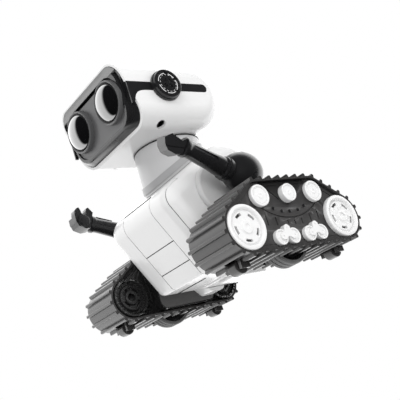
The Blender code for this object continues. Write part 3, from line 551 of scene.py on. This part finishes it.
def inner_cover():
    panel = plate(belt_outline(pod_circles(-BELT_T - FIT)), COVER_FACE, COVER_FACE + COVER_T)
    join(panel, rod(4.2, COVER_FACE + 1.0, 75.0, 0, DRIVE_R))
    cut(panel, rod(2.3, COVER_FACE + 1.4, 76.0, 0, DRIVE_R))
    join(panel, plate(belt_outline(list(BOX_CIRCLES)), BOX_FACE, COVER_FACE + 1))
    rings = [(0, 68.5), (18.6, 68.5), (18.6, 64.6), (18.0, 64.0), (16.4, 64.0), (15.9, 64.6), (15.4, 66.4),
             (12.9, 66.6), (12.4, 65.6), (11.9, 65.0), (9.9, 64.6), (9.4, 65.6), (7.0, 65.6), (6.5, 64.4),
             (4.2, 64.4), (3.8, 64.9), (3.8, 67.6), (0, 67.6)]
    for y in (-HALF_BASE, HALF_BASE):
        join(panel, turned(rings, y, AXLE_Z))
        for i in range(4):
            start = math.radians(20 + 90 * i)
            cut(panel, sector(y, AXLE_Z, 7.2, 9.3, start, start + math.radians(44), 60, 67.2))
    edge = belt_outline(pod_circles(-BELT_T - 3.4))
    cut(panel, cut(plate(edge, 60, COVER_FACE + 0.5), plate(belt_outline(pod_circles(-BELT_T - 4.2)), 59, 70),
                   plate(belt_outline([(y, z, r + 0.4) for y, z, r in BOX_CIRCLES]), 50, 72)))
    pair(panel, "inner_cover", "base", "cover", 0.25)
    face = plate(belt_outline([(y, z, r - 1.0) for y, z, r in BOX_CIRCLES]), BOX_FACE - 0.25, BOX_FACE + 0.4)
    pair(face, "box_face", "base", "box_grey", 0.1, False)


def trim_wheel(node, slots):
    """A white trim wheel with a rounded rim, a recessed web with slots, and a centre boss."""
    low, high = low_high("left_" + node)
    centre = (low + high) / 2
    radius = (high.z - low.z) / 2
    face, back = high.x, low.x
    rim, web, boss = radius * 0.80, face - radius * 0.085, radius * 0.27
    lip = radius * 0.055
    profile = [(0, web + lip * 0.5), (boss * 0.45, web + lip * 0.5), (boss * 0.5, web + lip * 1.2),
               (boss, web + lip * 1.2), (boss + lip, web), (radius * 0.70, web), (radius * 0.74, web - lip),
               (rim - lip * 0.4, web - lip), (rim, face - lip), (rim + lip, face), (radius - lip * 1.4, face),
               (radius - lip * 0.4, face - lip * 0.5), (radius, face - lip * 1.6), (radius, back), (0, back)]
    wheel = turned(profile, centre.y - CENTRE_Y, centre.z, 80)
    for i in range(slots):
        start = math.radians(28) + 2 * math.pi * i / slots
        slot = sector(centre.y - CENTRE_Y, centre.z, radius * 0.52, radius * 0.64, start, start + math.radians(34),
                      web - radius * 0.3, face + 3)
        cut(wheel, slot)
    pair(wheel, node, "base", "trim", 0.12)


def bogie(node, direction):
    """Two small road wheels under a three-lobed bracket with small pin holes cut in its lobes."""
    back, face = PLATE_FACE + FIT, PLATE_FACE + 4.2
    centre = direction * (BOGIE_Y[0] + BOGIE_Y[1]) / 2
    shapes = []
    for y in BOGIE_Y:
        profile = [(0, face - 0.9), (4.0, face - 0.9), (4.4, face - 1.2), (5.0, face - 1.2), (5.2, face - 0.3),
                   (5.6, face), (BOGIE_R - 0.4, face), (BOGIE_R, face - 0.5), (BOGIE_R, back), (0, back)]
        shapes.append(turned(profile, direction * y, BOGIE_Z, 48))
    lobes = ((centre - 6.2, BOGIE_Z, 2.7), (centre + 6.2, BOGIE_Z, 2.7), (centre, BOGIE_Z + 6.6, 2.9))
    bracket = plate(belt_outline([lobes[0], lobes[1], lobes[2]], 8), back, PLATE_FACE + 5.2)
    waist = rod(4.0, back - 3, PLATE_FACE + 8, centre, BOGIE_Z - 4.6)
    cut(bracket, waist)
    for side in (-1, 1):
        cut(bracket, rod(3.4, PLATE_FACE, PLATE_FACE + 8, centre + side * 6.6, BOGIE_Z + 6.4))
    for y, z, _ in lobes:
        cut(bracket, rod(0.7, PLATE_FACE + 4.6, PLATE_FACE + 8, y, z, 20))
    join(shapes[0], shapes[1], bracket)
    pair(shapes[0], node, "base", "trim", 0.12)


def drive():
    """Tyre with two shallow rings, and the end rollers."""
    inner = DRIVE_R - 3.2
    middle_x = (DRIVE_IN + DRIVE_OUT) / 2
    profile = [(inner, DRIVE_OUT), (DRIVE_R - 0.9, DRIVE_OUT), (DRIVE_R, DRIVE_OUT - 1.0)]
    for x in (middle_x + 2.4, middle_x - 2.4):
        profile += [(DRIVE_R, x + 0.6), (DRIVE_R - 0.7, x + 0.4), (DRIVE_R - 0.7, x - 0.4), (DRIVE_R, x - 0.6)]
    profile += [(DRIVE_R, DRIVE_IN + 1.0), (DRIVE_R - 0.9, DRIVE_IN), (inner, DRIVE_IN), (inner, DRIVE_OUT)]
    pair(turned(profile, 0, DRIVE_R, 96), "drive_tyre", "{side}_drive", "rubber", 0.2)
    for node, y in (("front_roller", -HALF_BASE), ("rear_roller", HALF_BASE)):
        half = ROLLER_W / 2
        x = ROLLER_X
        profile = [(0, x + half + 2.6), (1.6, x + half + 2.6), (1.6, x + half), (ROLLER_R - 1.2, x + half),
                   (ROLLER_R - 0.3, x + half - 0.4), (ROLLER_R, x + half - 1.4), (ROLLER_R, x - half + 1.4),
                   (ROLLER_R - 0.3, x - half + 0.4), (ROLLER_R - 1.2, x - half), (1.6, x - half),
                   (1.6, x - half - 2.6), (0, x - half - 2.6)]
        pair(turned(profile, y, ROLLER_R, 48), node, "{side}_" + node, "dark_grey", 0.1)


# ---------------------------------------------------------------- torso

def lean_point(back, up):
    """A point of the pitched torso frame as (y, z)."""
    return (back * math.cos(LEAN) - up * math.sin(LEAN), back * math.sin(LEAN) + up * math.cos(LEAN))


def torso_outline(inset=0.0):
    front_foot = lean_point(FRONT_BACK, 12.0)
    foot_z = low_high("torso_shell")[0].z
    shift = (front_foot[1] - foot_z) * math.tan(LEAN)
    corners = [
        (front_foot[0] + shift, foot_z, 5.0),
        (66.0, foot_z, 14.0),
        (74.0, 66.0, 20.0),
        (*lean_point(REAR_BACK - 8, TOP_UP), 30.0),
        (*lean_point(FRONT_BACK, TOP_UP), 16.0),
    ]
    return rounded_outline(corners, inset)


def torso_body(inset=0.0):
    return rounded_body(torso_outline, TORSO_HALF, TORSO_EDGE, inset)


def lean_block(x, back, up):
    return moved(block(x, back, up), Matrix.Rotation(LEAN, 4, "X"))


def torso():
    inner = torso_body(WALL)
    bib_back = 7.0
    bib = lean_block((-BIB_HALF, BIB_HALF), (-60, bib_back), (14, 140))
    bib_half = BIB_HALF + SEAM
    bib_space = lean_block((-bib_half, bib_half), (-60, bib_back + SEAM), (14 - SEAM, 140))
    shell = cut(torso_body(), inner, bib_space, block((-31, 31), DOOR_Y, (14.6, 30)),
                block((-6, 6), (68, 80), (44, 49)))
    for side in (-1, 1):
        cut(shell, rod(6.0, *sorted((side * 46, side * 58)), *SHOULDER))
    single(shell, "torso_shell", "base", "white", 0.2)

    chest_half = CHEST_HALF + SEAM
    chest_space = lean_block((-chest_half, chest_half), (-70, bib_back + 2), (20 - SEAM, CHEST_TOP + SEAM))
    layer = cut(torso_body(-1.0), torso_body(PANEL_T + FIT))
    change(layer, chest_space, "INTERSECT")
    cover = cut(torso_body(), inner)
    change(cover, bib, "INTERSECT")
    cut(cover, layer)
    single(cover, "front_cover", "base", "white", 0.2)

    panel = cut(torso_body(), torso_body(PANEL_T))
    chest = lean_block((-CHEST_HALF, CHEST_HALF), (-70, bib_back), (20, CHEST_TOP))
    change(panel, chest, "INTERSECT")
    for up in GROOVES_UP:
        cut(panel, lean_block((-CHEST_HALF - 1, CHEST_HALF + 1), (-40, FRONT_BACK + 0.7),
                              (up - GROOVE / 2, up + GROOVE / 2)))
    single(panel, "chest_panel", "base", "white", 0.15)

    # Black sheets set into the gaps around the front cover and the chest panel: painted shade in the gaps.
    bib_gap_shade = cut(torso_body(0.5), torso_body(WALL))
    cut(change(bib_gap_shade, bib_space, "INTERSECT"), bib)
    chest_gap_shade = cut(torso_body(0.5), torso_body(PANEL_T + FIT))
    cut(change(chest_gap_shade, chest_space, "INTERSECT"), chest)
    # Black strips at the bottom of the chest grooves: painted shade in the grooves.
    lines = [lean_block((-CHEST_HALF, CHEST_HALF), (FRONT_BACK + 0.4, FRONT_BACK + 0.75),
                        (up - GROOVE / 2, up + GROOVE / 2)) for up in GROOVES_UP]
    piece(together(bib_gap_shade, chest_gap_shade, *lines), "torso_seam_shade", "base", "seam", bevel=0.0)


def hip_links():
    outline = belt_outline([(22, 23, 5.5), (32, 23, 5.5), (8, 48, 11)])
    link = cut(plate(outline, 40, BOX_FACE - FIT), torso_body(-FIT))
    pair(link, "hip_link", "base", "white", 0.8)


def shoulder_sockets():
    x = TORSO_HALF + FIT
    profile = [(0, x + 4.5), (SOCKET_R - 2.6, x + 4.5), (SOCKET_R - 1.0, x + 4.0), (SOCKET_R, x + 2.6),
               (SOCKET_R, x), (0, x)]
    disc = join(turned(profile, *SOCKET, 96), rod(5.6, 47, 66, *SHOULDER))
    pair(disc, "shoulder_socket", "base", "pale_grey", 0.3)


# ---------------------------------------------------------------- neck and head

def upright(profile, y=0.0, z=0.0, segments=96):
    """A piece turned around a vertical axis from (radius, z) points, listed from the top down."""
    return moved(turned(profile, 0, 0, segments), Matrix.Translation((0, y, z)) @ Matrix.Rotation(-math.pi / 2, 4, "Y"))


def neck():
    profile = [(0, NECK_TOP + 12), (POST_R, NECK_TOP + 12), (POST_R, NECK_TOP), (NECK_R - 1.4, NECK_TOP),
               (NECK_R - 0.3, NECK_TOP - 0.4), (NECK_R, NECK_TOP - 1.5), (NECK_R + 0.6, 120), (NECK_R + 1.2, 60),
               (NECK_R - 2.4, 60), (NECK_R - 2.4, NECK_TOP - 3), (0, NECK_TOP - 3)]
    single(cut(upright(profile, NECK_Y), torso_body(-FIT)), "neck", "base", "light_grey", 0.2)
    sleeve = [(NECK_R + 1.6, NECK_TOP - 8), (NECK_R + 1.6, 80), (NECK_R + 0.2, 80), (NECK_R + 0.2, NECK_TOP - 8),
              (NECK_R + 1.6, NECK_TOP - 8)]
    collar = change(cut(upright(sleeve, NECK_Y), torso_body(-2.6)), torso_body(-9.0), "INTERSECT")
    piece(collar, "neck_band", "base", "neck_band", bevel=0.2)
    # A black ring where the neck meets the head: painted shade at the junction.
    junction_shade = [(NECK_R + 0.3, NECK_TOP), (NECK_R + 0.3, NECK_TOP - 0.9), (NECK_R - 1.0, NECK_TOP - 0.9),
            (NECK_R - 1.0, NECK_TOP), (NECK_R + 0.3, NECK_TOP)]
    piece(upright(junction_shade, NECK_Y), "neck_junction_shade", "base", "seam", bevel=0.0)


def face_y(z):
    return -80.7 - (z - 159.3) * FACE_SLOPE


def rim_y(z):
    return -69.4 - (z - HEAD_BOTTOM) * RIM_SLOPE


def head_outline(inset=0.0, forward=0.0):
    corners = [
        (rim_y(HEAD_BOTTOM) - forward, HEAD_BOTTOM, 1.0),
        (HEAD_BACK_Y + 33.0, HEAD_BOTTOM, 31.4),
        (HEAD_BACK_Y + 33.0, HEAD_TOP, 31.4),
        (rim_y(HEAD_TOP) - forward, HEAD_TOP, 1.0),
    ]
    return rounded_outline(corners, inset, 16)


def head_body(inset=0.0, forward=0.0):
    """The D shape with rounded side edges; the front rim stays in its own slanted plane."""
    slant = math.hypot(1.0, RIM_SLOPE)
    return rounded_body(lambda extra: head_outline(extra, forward + (extra - inset) * slant),
                        HEAD_HALF, HEAD_EDGE, inset, FACE_STEPS)


def rounded_rectangle(half, low, high, radius):
    corners = [(-half, low, radius), (half, low, radius), (half, high, radius), (-half, high, radius)]
    return rounded_outline(corners, 0.0, FACE_STEPS)


def face_ring(half, low, high, radius, y_of):
    return [(x, y_of(z), z) for x, z in rounded_rectangle(half, low, high, radius)]


def face_prism(half, low, high, radius, front, back):
    """A rounded rectangle swept back from the face."""
    return loft([face_ring(half, low, high, radius, lambda z: face_y(z) + front),
                 face_ring(half, low, high, radius, lambda z: face_y(z) + back)])


def on_face(shape, x, z):
    """Turn a piece made around X so that it points out of the face at a place on the face plate."""
    turn = Matrix.Rotation(-math.pi / 2, 4, "Z")
    tilt = Matrix.Rotation(math.atan(FACE_SLOPE), 4, "X")
    return moved(shape, Matrix.Translation((x, face_y(z) + 1.4, z)) @ tilt @ turn)


def band(grow=0.0):
    """The band along the head's left side: a round rear end, and a flare where it meets the bezel."""
    half = BAND_H / 2 + grow
    end = arc(BAND_END - half, EAR_Z, half, -math.pi / 2, math.pi / 2, 14)
    flare = [(-80.0, EAR_Z - 17), (-77.0, EAR_Z - 17), (-75.6, EAR_Z - 12.5), (-73.6, EAR_Z - 8.6),
             (-71.0, EAR_Z - 6.0), (-67.5, EAR_Z - 4.6), (-63.0, EAR_Z - 4.0)]
    outline = [(y, z - grow) for y, z in flare] + end + [(-80.0, EAR_Z + half)]
    return plate(outline, 54.9 - grow, 56.3 + grow * 12)


def both(shape):
    """The shape and its mirror image as one."""
    bm = bmesh.new()
    bm.from_mesh(baked(shape))
    mirror = bm.copy()
    bmesh.ops.scale(mirror, vec=(-1, 1, 1), verts=mirror.verts)
    bmesh.ops.reverse_faces(mirror, faces=mirror.faces)
    flipped = bpy.data.meshes.new("mirror")
    mirror.to_mesh(flipped)
    mirror.free()
    bm.from_mesh(flipped)
    return made(bm)


def head():
    shell = cut(head_body(), head_body(2.5, 30.0))
    cut(shell, moved(rod(POST_R + 0.6, -20, 20, 0, 0, 48),
                     Matrix.Translation((0, NECK_Y, HEAD_BOTTOM)) @ Matrix.Rotation(-math.pi / 2, 4, "Y")))
    root = (EAR_Z - BAND_H / 2, EAR_Z + BAND_H / 2)
    cut(shell, both(band(FIT)), both(block((50, 60), (-95, BAND_ROOT), (root[0] - FIT, root[1] + FIT))),
        both(rod(2.9, 50, 60, EAR_Y, EAR_Z)))
    screw_well = moved(turned([(0, 6), (6.2, 6), (4.4, -1.2), (4.2, -12), (0, -12)], 0, 0, 48),
                       Matrix.Translation(SCREW_WELL) @ Matrix.Rotation(math.radians(52), 4, "Y"))
    cut(shell, both(screw_well))
    single(shell, "head_shell", "head", "white", 0.3)

    wall = 2.5 + FIT
    half = HEAD_HALF - wall
    low, high = HEAD_BOTTOM + wall, HEAD_TOP - wall
    bezel = loft([
        face_ring(half, low, high, HEAD_EDGE - wall, lambda z: rim_y(z) + 6),
        face_ring(half, low, high, HEAD_EDGE - wall, lambda z: rim_y(z) - 0.5),
        face_ring(49.4, 157.6, 215.4, 17.6, lambda z: face_y(z) + 2.4),
        face_ring(48.8, 158.2, 214.8, 17.2, lambda z: face_y(z) + 0.9),
        face_ring(47.8, 159.2, 213.8, 16.5, face_y),
    ])
    cut(bezel, face_prism(45.6, 161.2, 209.0, 15.5, -20, 40), face_prism(47.0, 160.0, 210.4, 16.0, 3.6, 5.8))
    join(bezel, both(band()), both(block((50.5, 56.2), (BAND_FRONT, BAND_ROOT), root)))
    cut(bezel, both(rod(2.9, 50, 60, EAR_Y, EAR_Z, 20)))
    spaces = [on_face(rod(EYE_RING_R + FIT, -2.3, 9, 0, 0, 72), side * EYE_X, EYE_Z) for side in (-1, 1)]
    single(cut(bezel, *spaces), "face_bezel", "head", "black", 0.3)
    outer = (half - 0.1, low, high - 0.1, HEAD_EDGE - wall)
    brow = loft([
        face_ring(*outer, lambda z: rim_y(z) + 4),
        face_ring(*outer, lambda z: rim_y(z) - 0.7),
        face_ring(48.0, 159.0, 213.4, 16.6, lambda z: face_y(z) - 0.3),
    ])
    cut(brow, block((-60, 60), (-120, -40), (150, 203.0)), face_prism(45.6, 161.2, 209.2, 15.6, -20, 40))
    for side in (-1, 1):
        cut(brow, block(sorted((side * 36.5, side * 60)), (-120, -40), (150, 207.0)))
    piece(brow, "brow", "head", "brow_grey", bevel=0.2)

    panel = face_prism(45.6 - FIT, 161.2 + FIT, 206.6, 15.2, 1.4, 4.4)
    for side in (-1, 1):
        ring = [(0, 3.2), (LENS_R + 0.5, 3.2), (LENS_R + 1.3, 4.6), (EYE_RING_R - 1.2, 4.8), (EYE_RING_R - 0.4, 4.2),
                (EYE_RING_R, 0.8), (EYE_RING_R, -2.0), (0, -2.0)]
        join(panel, on_face(turned(ring, 0, 0, 72), side * EYE_X, EYE_Z))
    for side in (-1, 1):
        cut(panel, on_face(rod(LENS_R + FIT, -20, 20, 0, 0, 68), side * EYE_X, EYE_Z))
    single(panel, "face_plate", "head", "face_grey", 0.3)

    dome = [(LENS_R * math.sin(a), 2.6 + 8.1 * math.cos(a)) for a in (math.pi / 2 * i / 18 for i in range(19))]
    lens = on_face(turned(dome + [(LENS_R, -5.5), (0, -5.5)], 0, 0, 96), EYE_X, EYE_Z)
    pair(lens, "eye_lens", "head", "lens", 0.2)
    ears()


def ears():
    x = HEAD_HALF + FIT
    profile = [(0, x + 6.0), (9.0, x + 6.0), (9.3, x + 5.5), (11.1, x + 5.5), (11.4, x + 6.6), (EAR_R - 1.8, x + 6.6),
               (EAR_R - 0.9, x + 6.2), (EAR_R - 0.5, x + 5.4), (EAR_R - 0.5, x + 3.0), (EAR_R + 0.2, x + 2.6),
               (EAR_R + 0.4, x + 0.4), (EAR_R, x), (2.6, x), (2.6, x - 3.8), (0, x - 3.8)]
    disc = turned(profile, EAR_Y, EAR_Z, 80)
    for start in range(0, 360, 90):
        turn = math.radians(start + 12)
        cut(disc, sector(EAR_Y, EAR_Z, 3.2, 5.4, turn, turn + math.radians(46), x + 5.4, x + 9))
    pair(disc, "ear_disc", "head", "black", 0.2)
    marks = []
    for start, sweep in ((-40, 60), (35, 38), (95, 75), (190, 50), (250, 55)):
        turn = math.radians(start)
        marks.append(sector(EAR_Y, EAR_Z, 9.7, 10.3, turn, turn + math.radians(sweep), x + 5.3, x + 5.75, 14))
    for i in range(14):
        turn = 2 * math.pi * i / 14 + 0.2
        marks.append(sector(EAR_Y, EAR_Z, 8.3, 8.7, turn, turn + math.radians(11), x + 5.8, x + 6.15, 4))
    pair(together(*marks), "ear_marks", "head", "mark", 0.0, False)


# ---------------------------------------------------------------- arms

def aim(start, end):
    """The matrix that lays a piece built along +X from start towards end."""
    turn = (end - start).to_track_quat("X", "Z").to_matrix().to_4x4()
    return Matrix.Translation(start) @ turn


def ellipsoid(centre, size):
    bm = bmesh.new()
    bmesh.ops.create_uvsphere(bm, u_segments=72, v_segments=40, radius=1.0)
    bmesh.ops.transform(bm, matrix=Matrix.Translation(centre) @ Matrix.Diagonal((*size, 1)), verts=bm.verts)
    return made(bm)


def arms():
    cap = ellipsoid(CAP_CENTRE, CAP_SIZE)
    inner_face = TORSO_HALF + 4.5 + 2 * FIT
    cut(cap, rod(40, 40, inner_face, CAP_CENTRE.y, CAP_CENTRE.z), rod(5.9, 50, 66.3, *SHOULDER))
    seam = [(30, 0.4), (30, -0.4), (17.2, -0.4), (17.2, 0.4), (30, 0.4)]
    seam_ring = moved(turned(seam, 0, 0, 96), Matrix.Translation(CAP_CENTRE) @ Matrix.Rotation(-math.pi / 2, 4, "Z"))
    cut(cap, seam_ring)
    pair(cap, "shoulder_cap", "{side}_arm", "black", 0.2)

    length = (WRIST - ELBOW).length
    profile = [(0, length), (8.0, length), (8.6, length - 0.7), (8.5, length - 3.4), (7.6, length - 4.6),
               (7.2, length - 7), (7.3, length - 12), (8.1, 16), (8.9, 8), (9.0, 4.6), (8.5, 4.2), (8.5, 3.2),
               (9.6, 2.6), (10.2, 2.2), (10.4, 1.2), (9.8, 0.6), (9.8, 0.1), (10.6, -0.4), (10.6, -3.6),
               (9.6, -4.6), (0, -4.6)]
    place = aim(ELBOW, WRIST)
    tube = moved(turned(profile, 0, 0, 56), place)
    rib = moved(block((length - 22, length - 5), (-2.2, 2.2), (5.6, 8.4)), place)
    join(tube, rib)
    panel = moved(block((14, length - 8), (6.6, 10.5), (-1.6, 1.6)), place)
    cut(tube, panel)
    cut(tube, ellipsoid(CAP_CENTRE, CAP_SIZE + Vector((FIT, FIT, FIT)) * 1.6))
    pair(tube, "forearm", "{side}_arm", "black", 0.35)
    hands()


def hands():
    """Claws that open upward: on the right hand a front finger and a thumb on the inner half, on both hands a round
    boss on the inner half and a solid back outside.
    """
    claw = [(-70.0, 108.5), (-63.1, 121.5), (-68.7, 129.6), (-71.0, 128.8), (-72.4, 126.0), (-71.8, 123.3),
            (-74.7, 121.0), (-77.3, 124.5), (-77.8, 127.6), (-79.0, 130.7), (-81.6, 130.0), (-84.4, 127.4),
            (-85.2, 123.6), (-85.4, 116.7), (-83.3, 111.6), (-76.5, 108.1)]
    back = [(-70.0, 108.5), (-63.1, 121.5), (-69.2, 119.1), (-78.0, 125.2), (-85.2, 122.4), (-85.4, 116.7),
            (-83.3, 111.6), (-76.5, 108.1)]
    x = WRIST.x
    direction = (WRIST - ELBOW).normalized()
    start = WRIST + direction * FIT
    for side, flip in (("left", False), ("right", True)):
        inner = claw if side == "right" else back
        hand = join(plate(inner[::-1], x - 8.2, x - 1.0), plate(back[::-1], x - 1.5, x + 5.8))
        boss = [(0, x - 5.0), (6.5, x - 5.0), (6.5, x - 9.2), (5.6, x - 9.8), (0, x - 9.8)]
        join(hand, turned(boss, -77.4, 116.0, 56))
        cut(hand, stripe([(-90.0, 115.0), (-82.0, 114.8), (-66.0, 112.6)], 0.8, x + 5.1, x + 9.0),
            block((x - 12, x + 9), (-92, -84.7), (114.6, 115.4)))
        roll = Matrix.Rotation(HAND_ROLL[side], 4, direction)
        hand = moved(together(hand), Matrix.Translation(WRIST) @ roll @ Matrix.Translation(-WRIST))
        cut(hand, moved(turned([(0, 0), (12, 0), (12, -14), (0, -14)], 0, 0, 48), aim(start, start + direction)))
        piece(hand, side + "_hand_fine", side + "_arm", "black", (side + "_hand",), 0.6, flip)


# ---------------------------------------------------------------- the CAD nodes that stay

def paint_kept_nodes():
    kept = {
        "battery_door": "white", "battery_pack": "sleeve", "circuit_board": "board", "speaker": "black",
        "power_switch": "black",
    }
    for side in ("left", "right"):
        kept.update({side + "_drive_wheel": "black", side + "_drive_motor": "metal", side + "_motor_pinion": "metal"})
    for node, look in kept.items():
        obj = bpy.data.objects[node]
        for slot in obj.material_slots:
            slot.material = LOOKS[look]


# ---------------------------------------------------------------- stage, light and camera

def floor():
    """A plain pale floor that only shows from above, because the photograph looks up from below it."""
    bm = bmesh.new()
    bmesh.ops.create_grid(bm, x_segments=1, y_segments=1, size=4.0)
    mesh = bpy.data.meshes.new("floor")
    bm.to_mesh(mesh)
    bm.free()
    obj = bpy.data.objects.new("floor", mesh)
    bpy.context.scene.collection.objects.link(obj)
    mat = bpy.data.materials.new("floor")
    mat.use_nodes = True
    nodes, links = mat.node_tree.nodes, mat.node_tree.links
    shader = nodes["Principled BSDF"]
    shader.inputs["Base Color"].default_value = (0.86, 0.86, 0.86, 1)
    shader.inputs["Roughness"].default_value = 0.7
    clear = nodes.new("ShaderNodeBsdfTransparent")
    side = nodes.new("ShaderNodeNewGeometry")
    blend = nodes.new("ShaderNodeMixShader")
    links.new(side.outputs["Backfacing"], blend.inputs["Fac"])
    links.new(shader.outputs["BSDF"], blend.inputs[1])
    links.new(clear.outputs["BSDF"], blend.inputs[2])
    links.new(blend.outputs["Shader"], nodes["Material Output"].inputs["Surface"])
    mesh.materials.append(mat)
    obj.visible_glossy = False
    obj.visible_diffuse = False


def area_light(name, place, target, size, power):
    light = bpy.data.lights.new(name, "AREA")
    light.shape = "RECTANGLE"
    light.size, light.size_y = size
    light.energy = power
    obj = bpy.data.objects.new(name, light)
    obj.location = place
    obj.rotation_euler = (Vector(target) - Vector(place)).to_track_quat("-Z", "Y").to_euler()
    obj.visible_glossy = False
    bpy.context.scene.collection.objects.link(obj)


def world():
    """White to the camera. To the object a bright room, with a dark stretch in front that only reflections see."""
    scene = bpy.context.scene
    scene.world = bpy.data.worlds.new("studio")
    scene.world.use_nodes = True
    nodes, links = scene.world.node_tree.nodes, scene.world.node_tree.links
    white = nodes["Background"]
    white.inputs["Color"].default_value = (1, 1, 1, 1)
    path = nodes.new("ShaderNodeLightPath")
    place = nodes.new("ShaderNodeTexCoord")

    def ramp(value, low, high, at_low, at_high):
        node = nodes.new("ShaderNodeMapRange")
        node.interpolation_type = "SMOOTHSTEP"
        links.new(value, node.inputs["Value"])
        for socket, number in zip(("From Min", "From Max", "To Min", "To Max"), (low, high, at_low, at_high)):
            node.inputs[socket].default_value = number
        return node.outputs["Result"]

    def mixed(factor, a, b):
        node = nodes.new("ShaderNodeMixShader")
        for socket, value in zip(node.inputs, (factor, a, b)):
            links.new(value, socket)
        return node.outputs["Shader"]

    def background(strength):
        node = nodes.new("ShaderNodeBackground")
        links.new(strength, node.inputs["Strength"])
        return node.outputs["Background"]

    def facing(direction):
        node = nodes.new("ShaderNodeVectorMath")
        node.operation = "DOT_PRODUCT"
        links.new(place.outputs["Generated"], node.inputs[0])
        node.inputs[1].default_value = Vector(direction).normalized()
        return node.outputs["Value"]

    room = background(ramp(facing((0.3, 0.3, -1.0)), -1.0, 1.0, 1.0, 1.12))
    mirror = background(ramp(facing((0.87, -0.5, 0)), -0.24, -0.02, 2.7, 0.02))
    seen = mixed(path.outputs["Is Glossy Ray"], room, mirror)
    links.new(mixed(path.outputs["Is Camera Ray"], seen, white.outputs["Background"]),
              nodes["World Output"].inputs["Surface"])
    scene.view_settings.view_transform = "Standard"


def camera():
    data = bpy.data.cameras.new("camera")
    data.lens = 63.46
    data.sensor_width = 36.0
    data.clip_start = 0.01
    obj = bpy.data.objects.new("camera", data)
    obj.location = (0.4925, -0.4227 + CENTRE_Y * MM, -0.0856)
    obj.rotation_euler = [math.radians(turn) for turn in (106.55, 17.48, 53.98)]
    bpy.context.scene.collection.objects.link(obj)
    bpy.context.scene.camera = obj


track_shell()
side_plate()
inner_cover()
for name in ("front_wheel", "rear_wheel"):
    trim_wheel(name, 5)
for name in ("front", "middle", "rear"):
    trim_wheel("upper_wheel_" + name, 0)
bogie("front_bogie", -1)
bogie("rear_bogie", 1)
drive()
torso()
hip_links()
shoulder_sockets()
neck()
head()
arms()
paint_kept_nodes()
for helper in WORKSHOP:
    bpy.data.objects.remove(helper)

floor()
world()
area_light("key", (0.5, -0.7, 0.9), (0, 0, 0.12), (0.7, 0.7), 4)
area_light("rim", (0.9, 0.9, 0.6), (0, 0, 0.12), (0.6, 0.6), 2)
area_light("side_fill", (1.1, -0.35, 0.05), (0, 0, 0.12), (0.9, 0.7), 6)
camera()
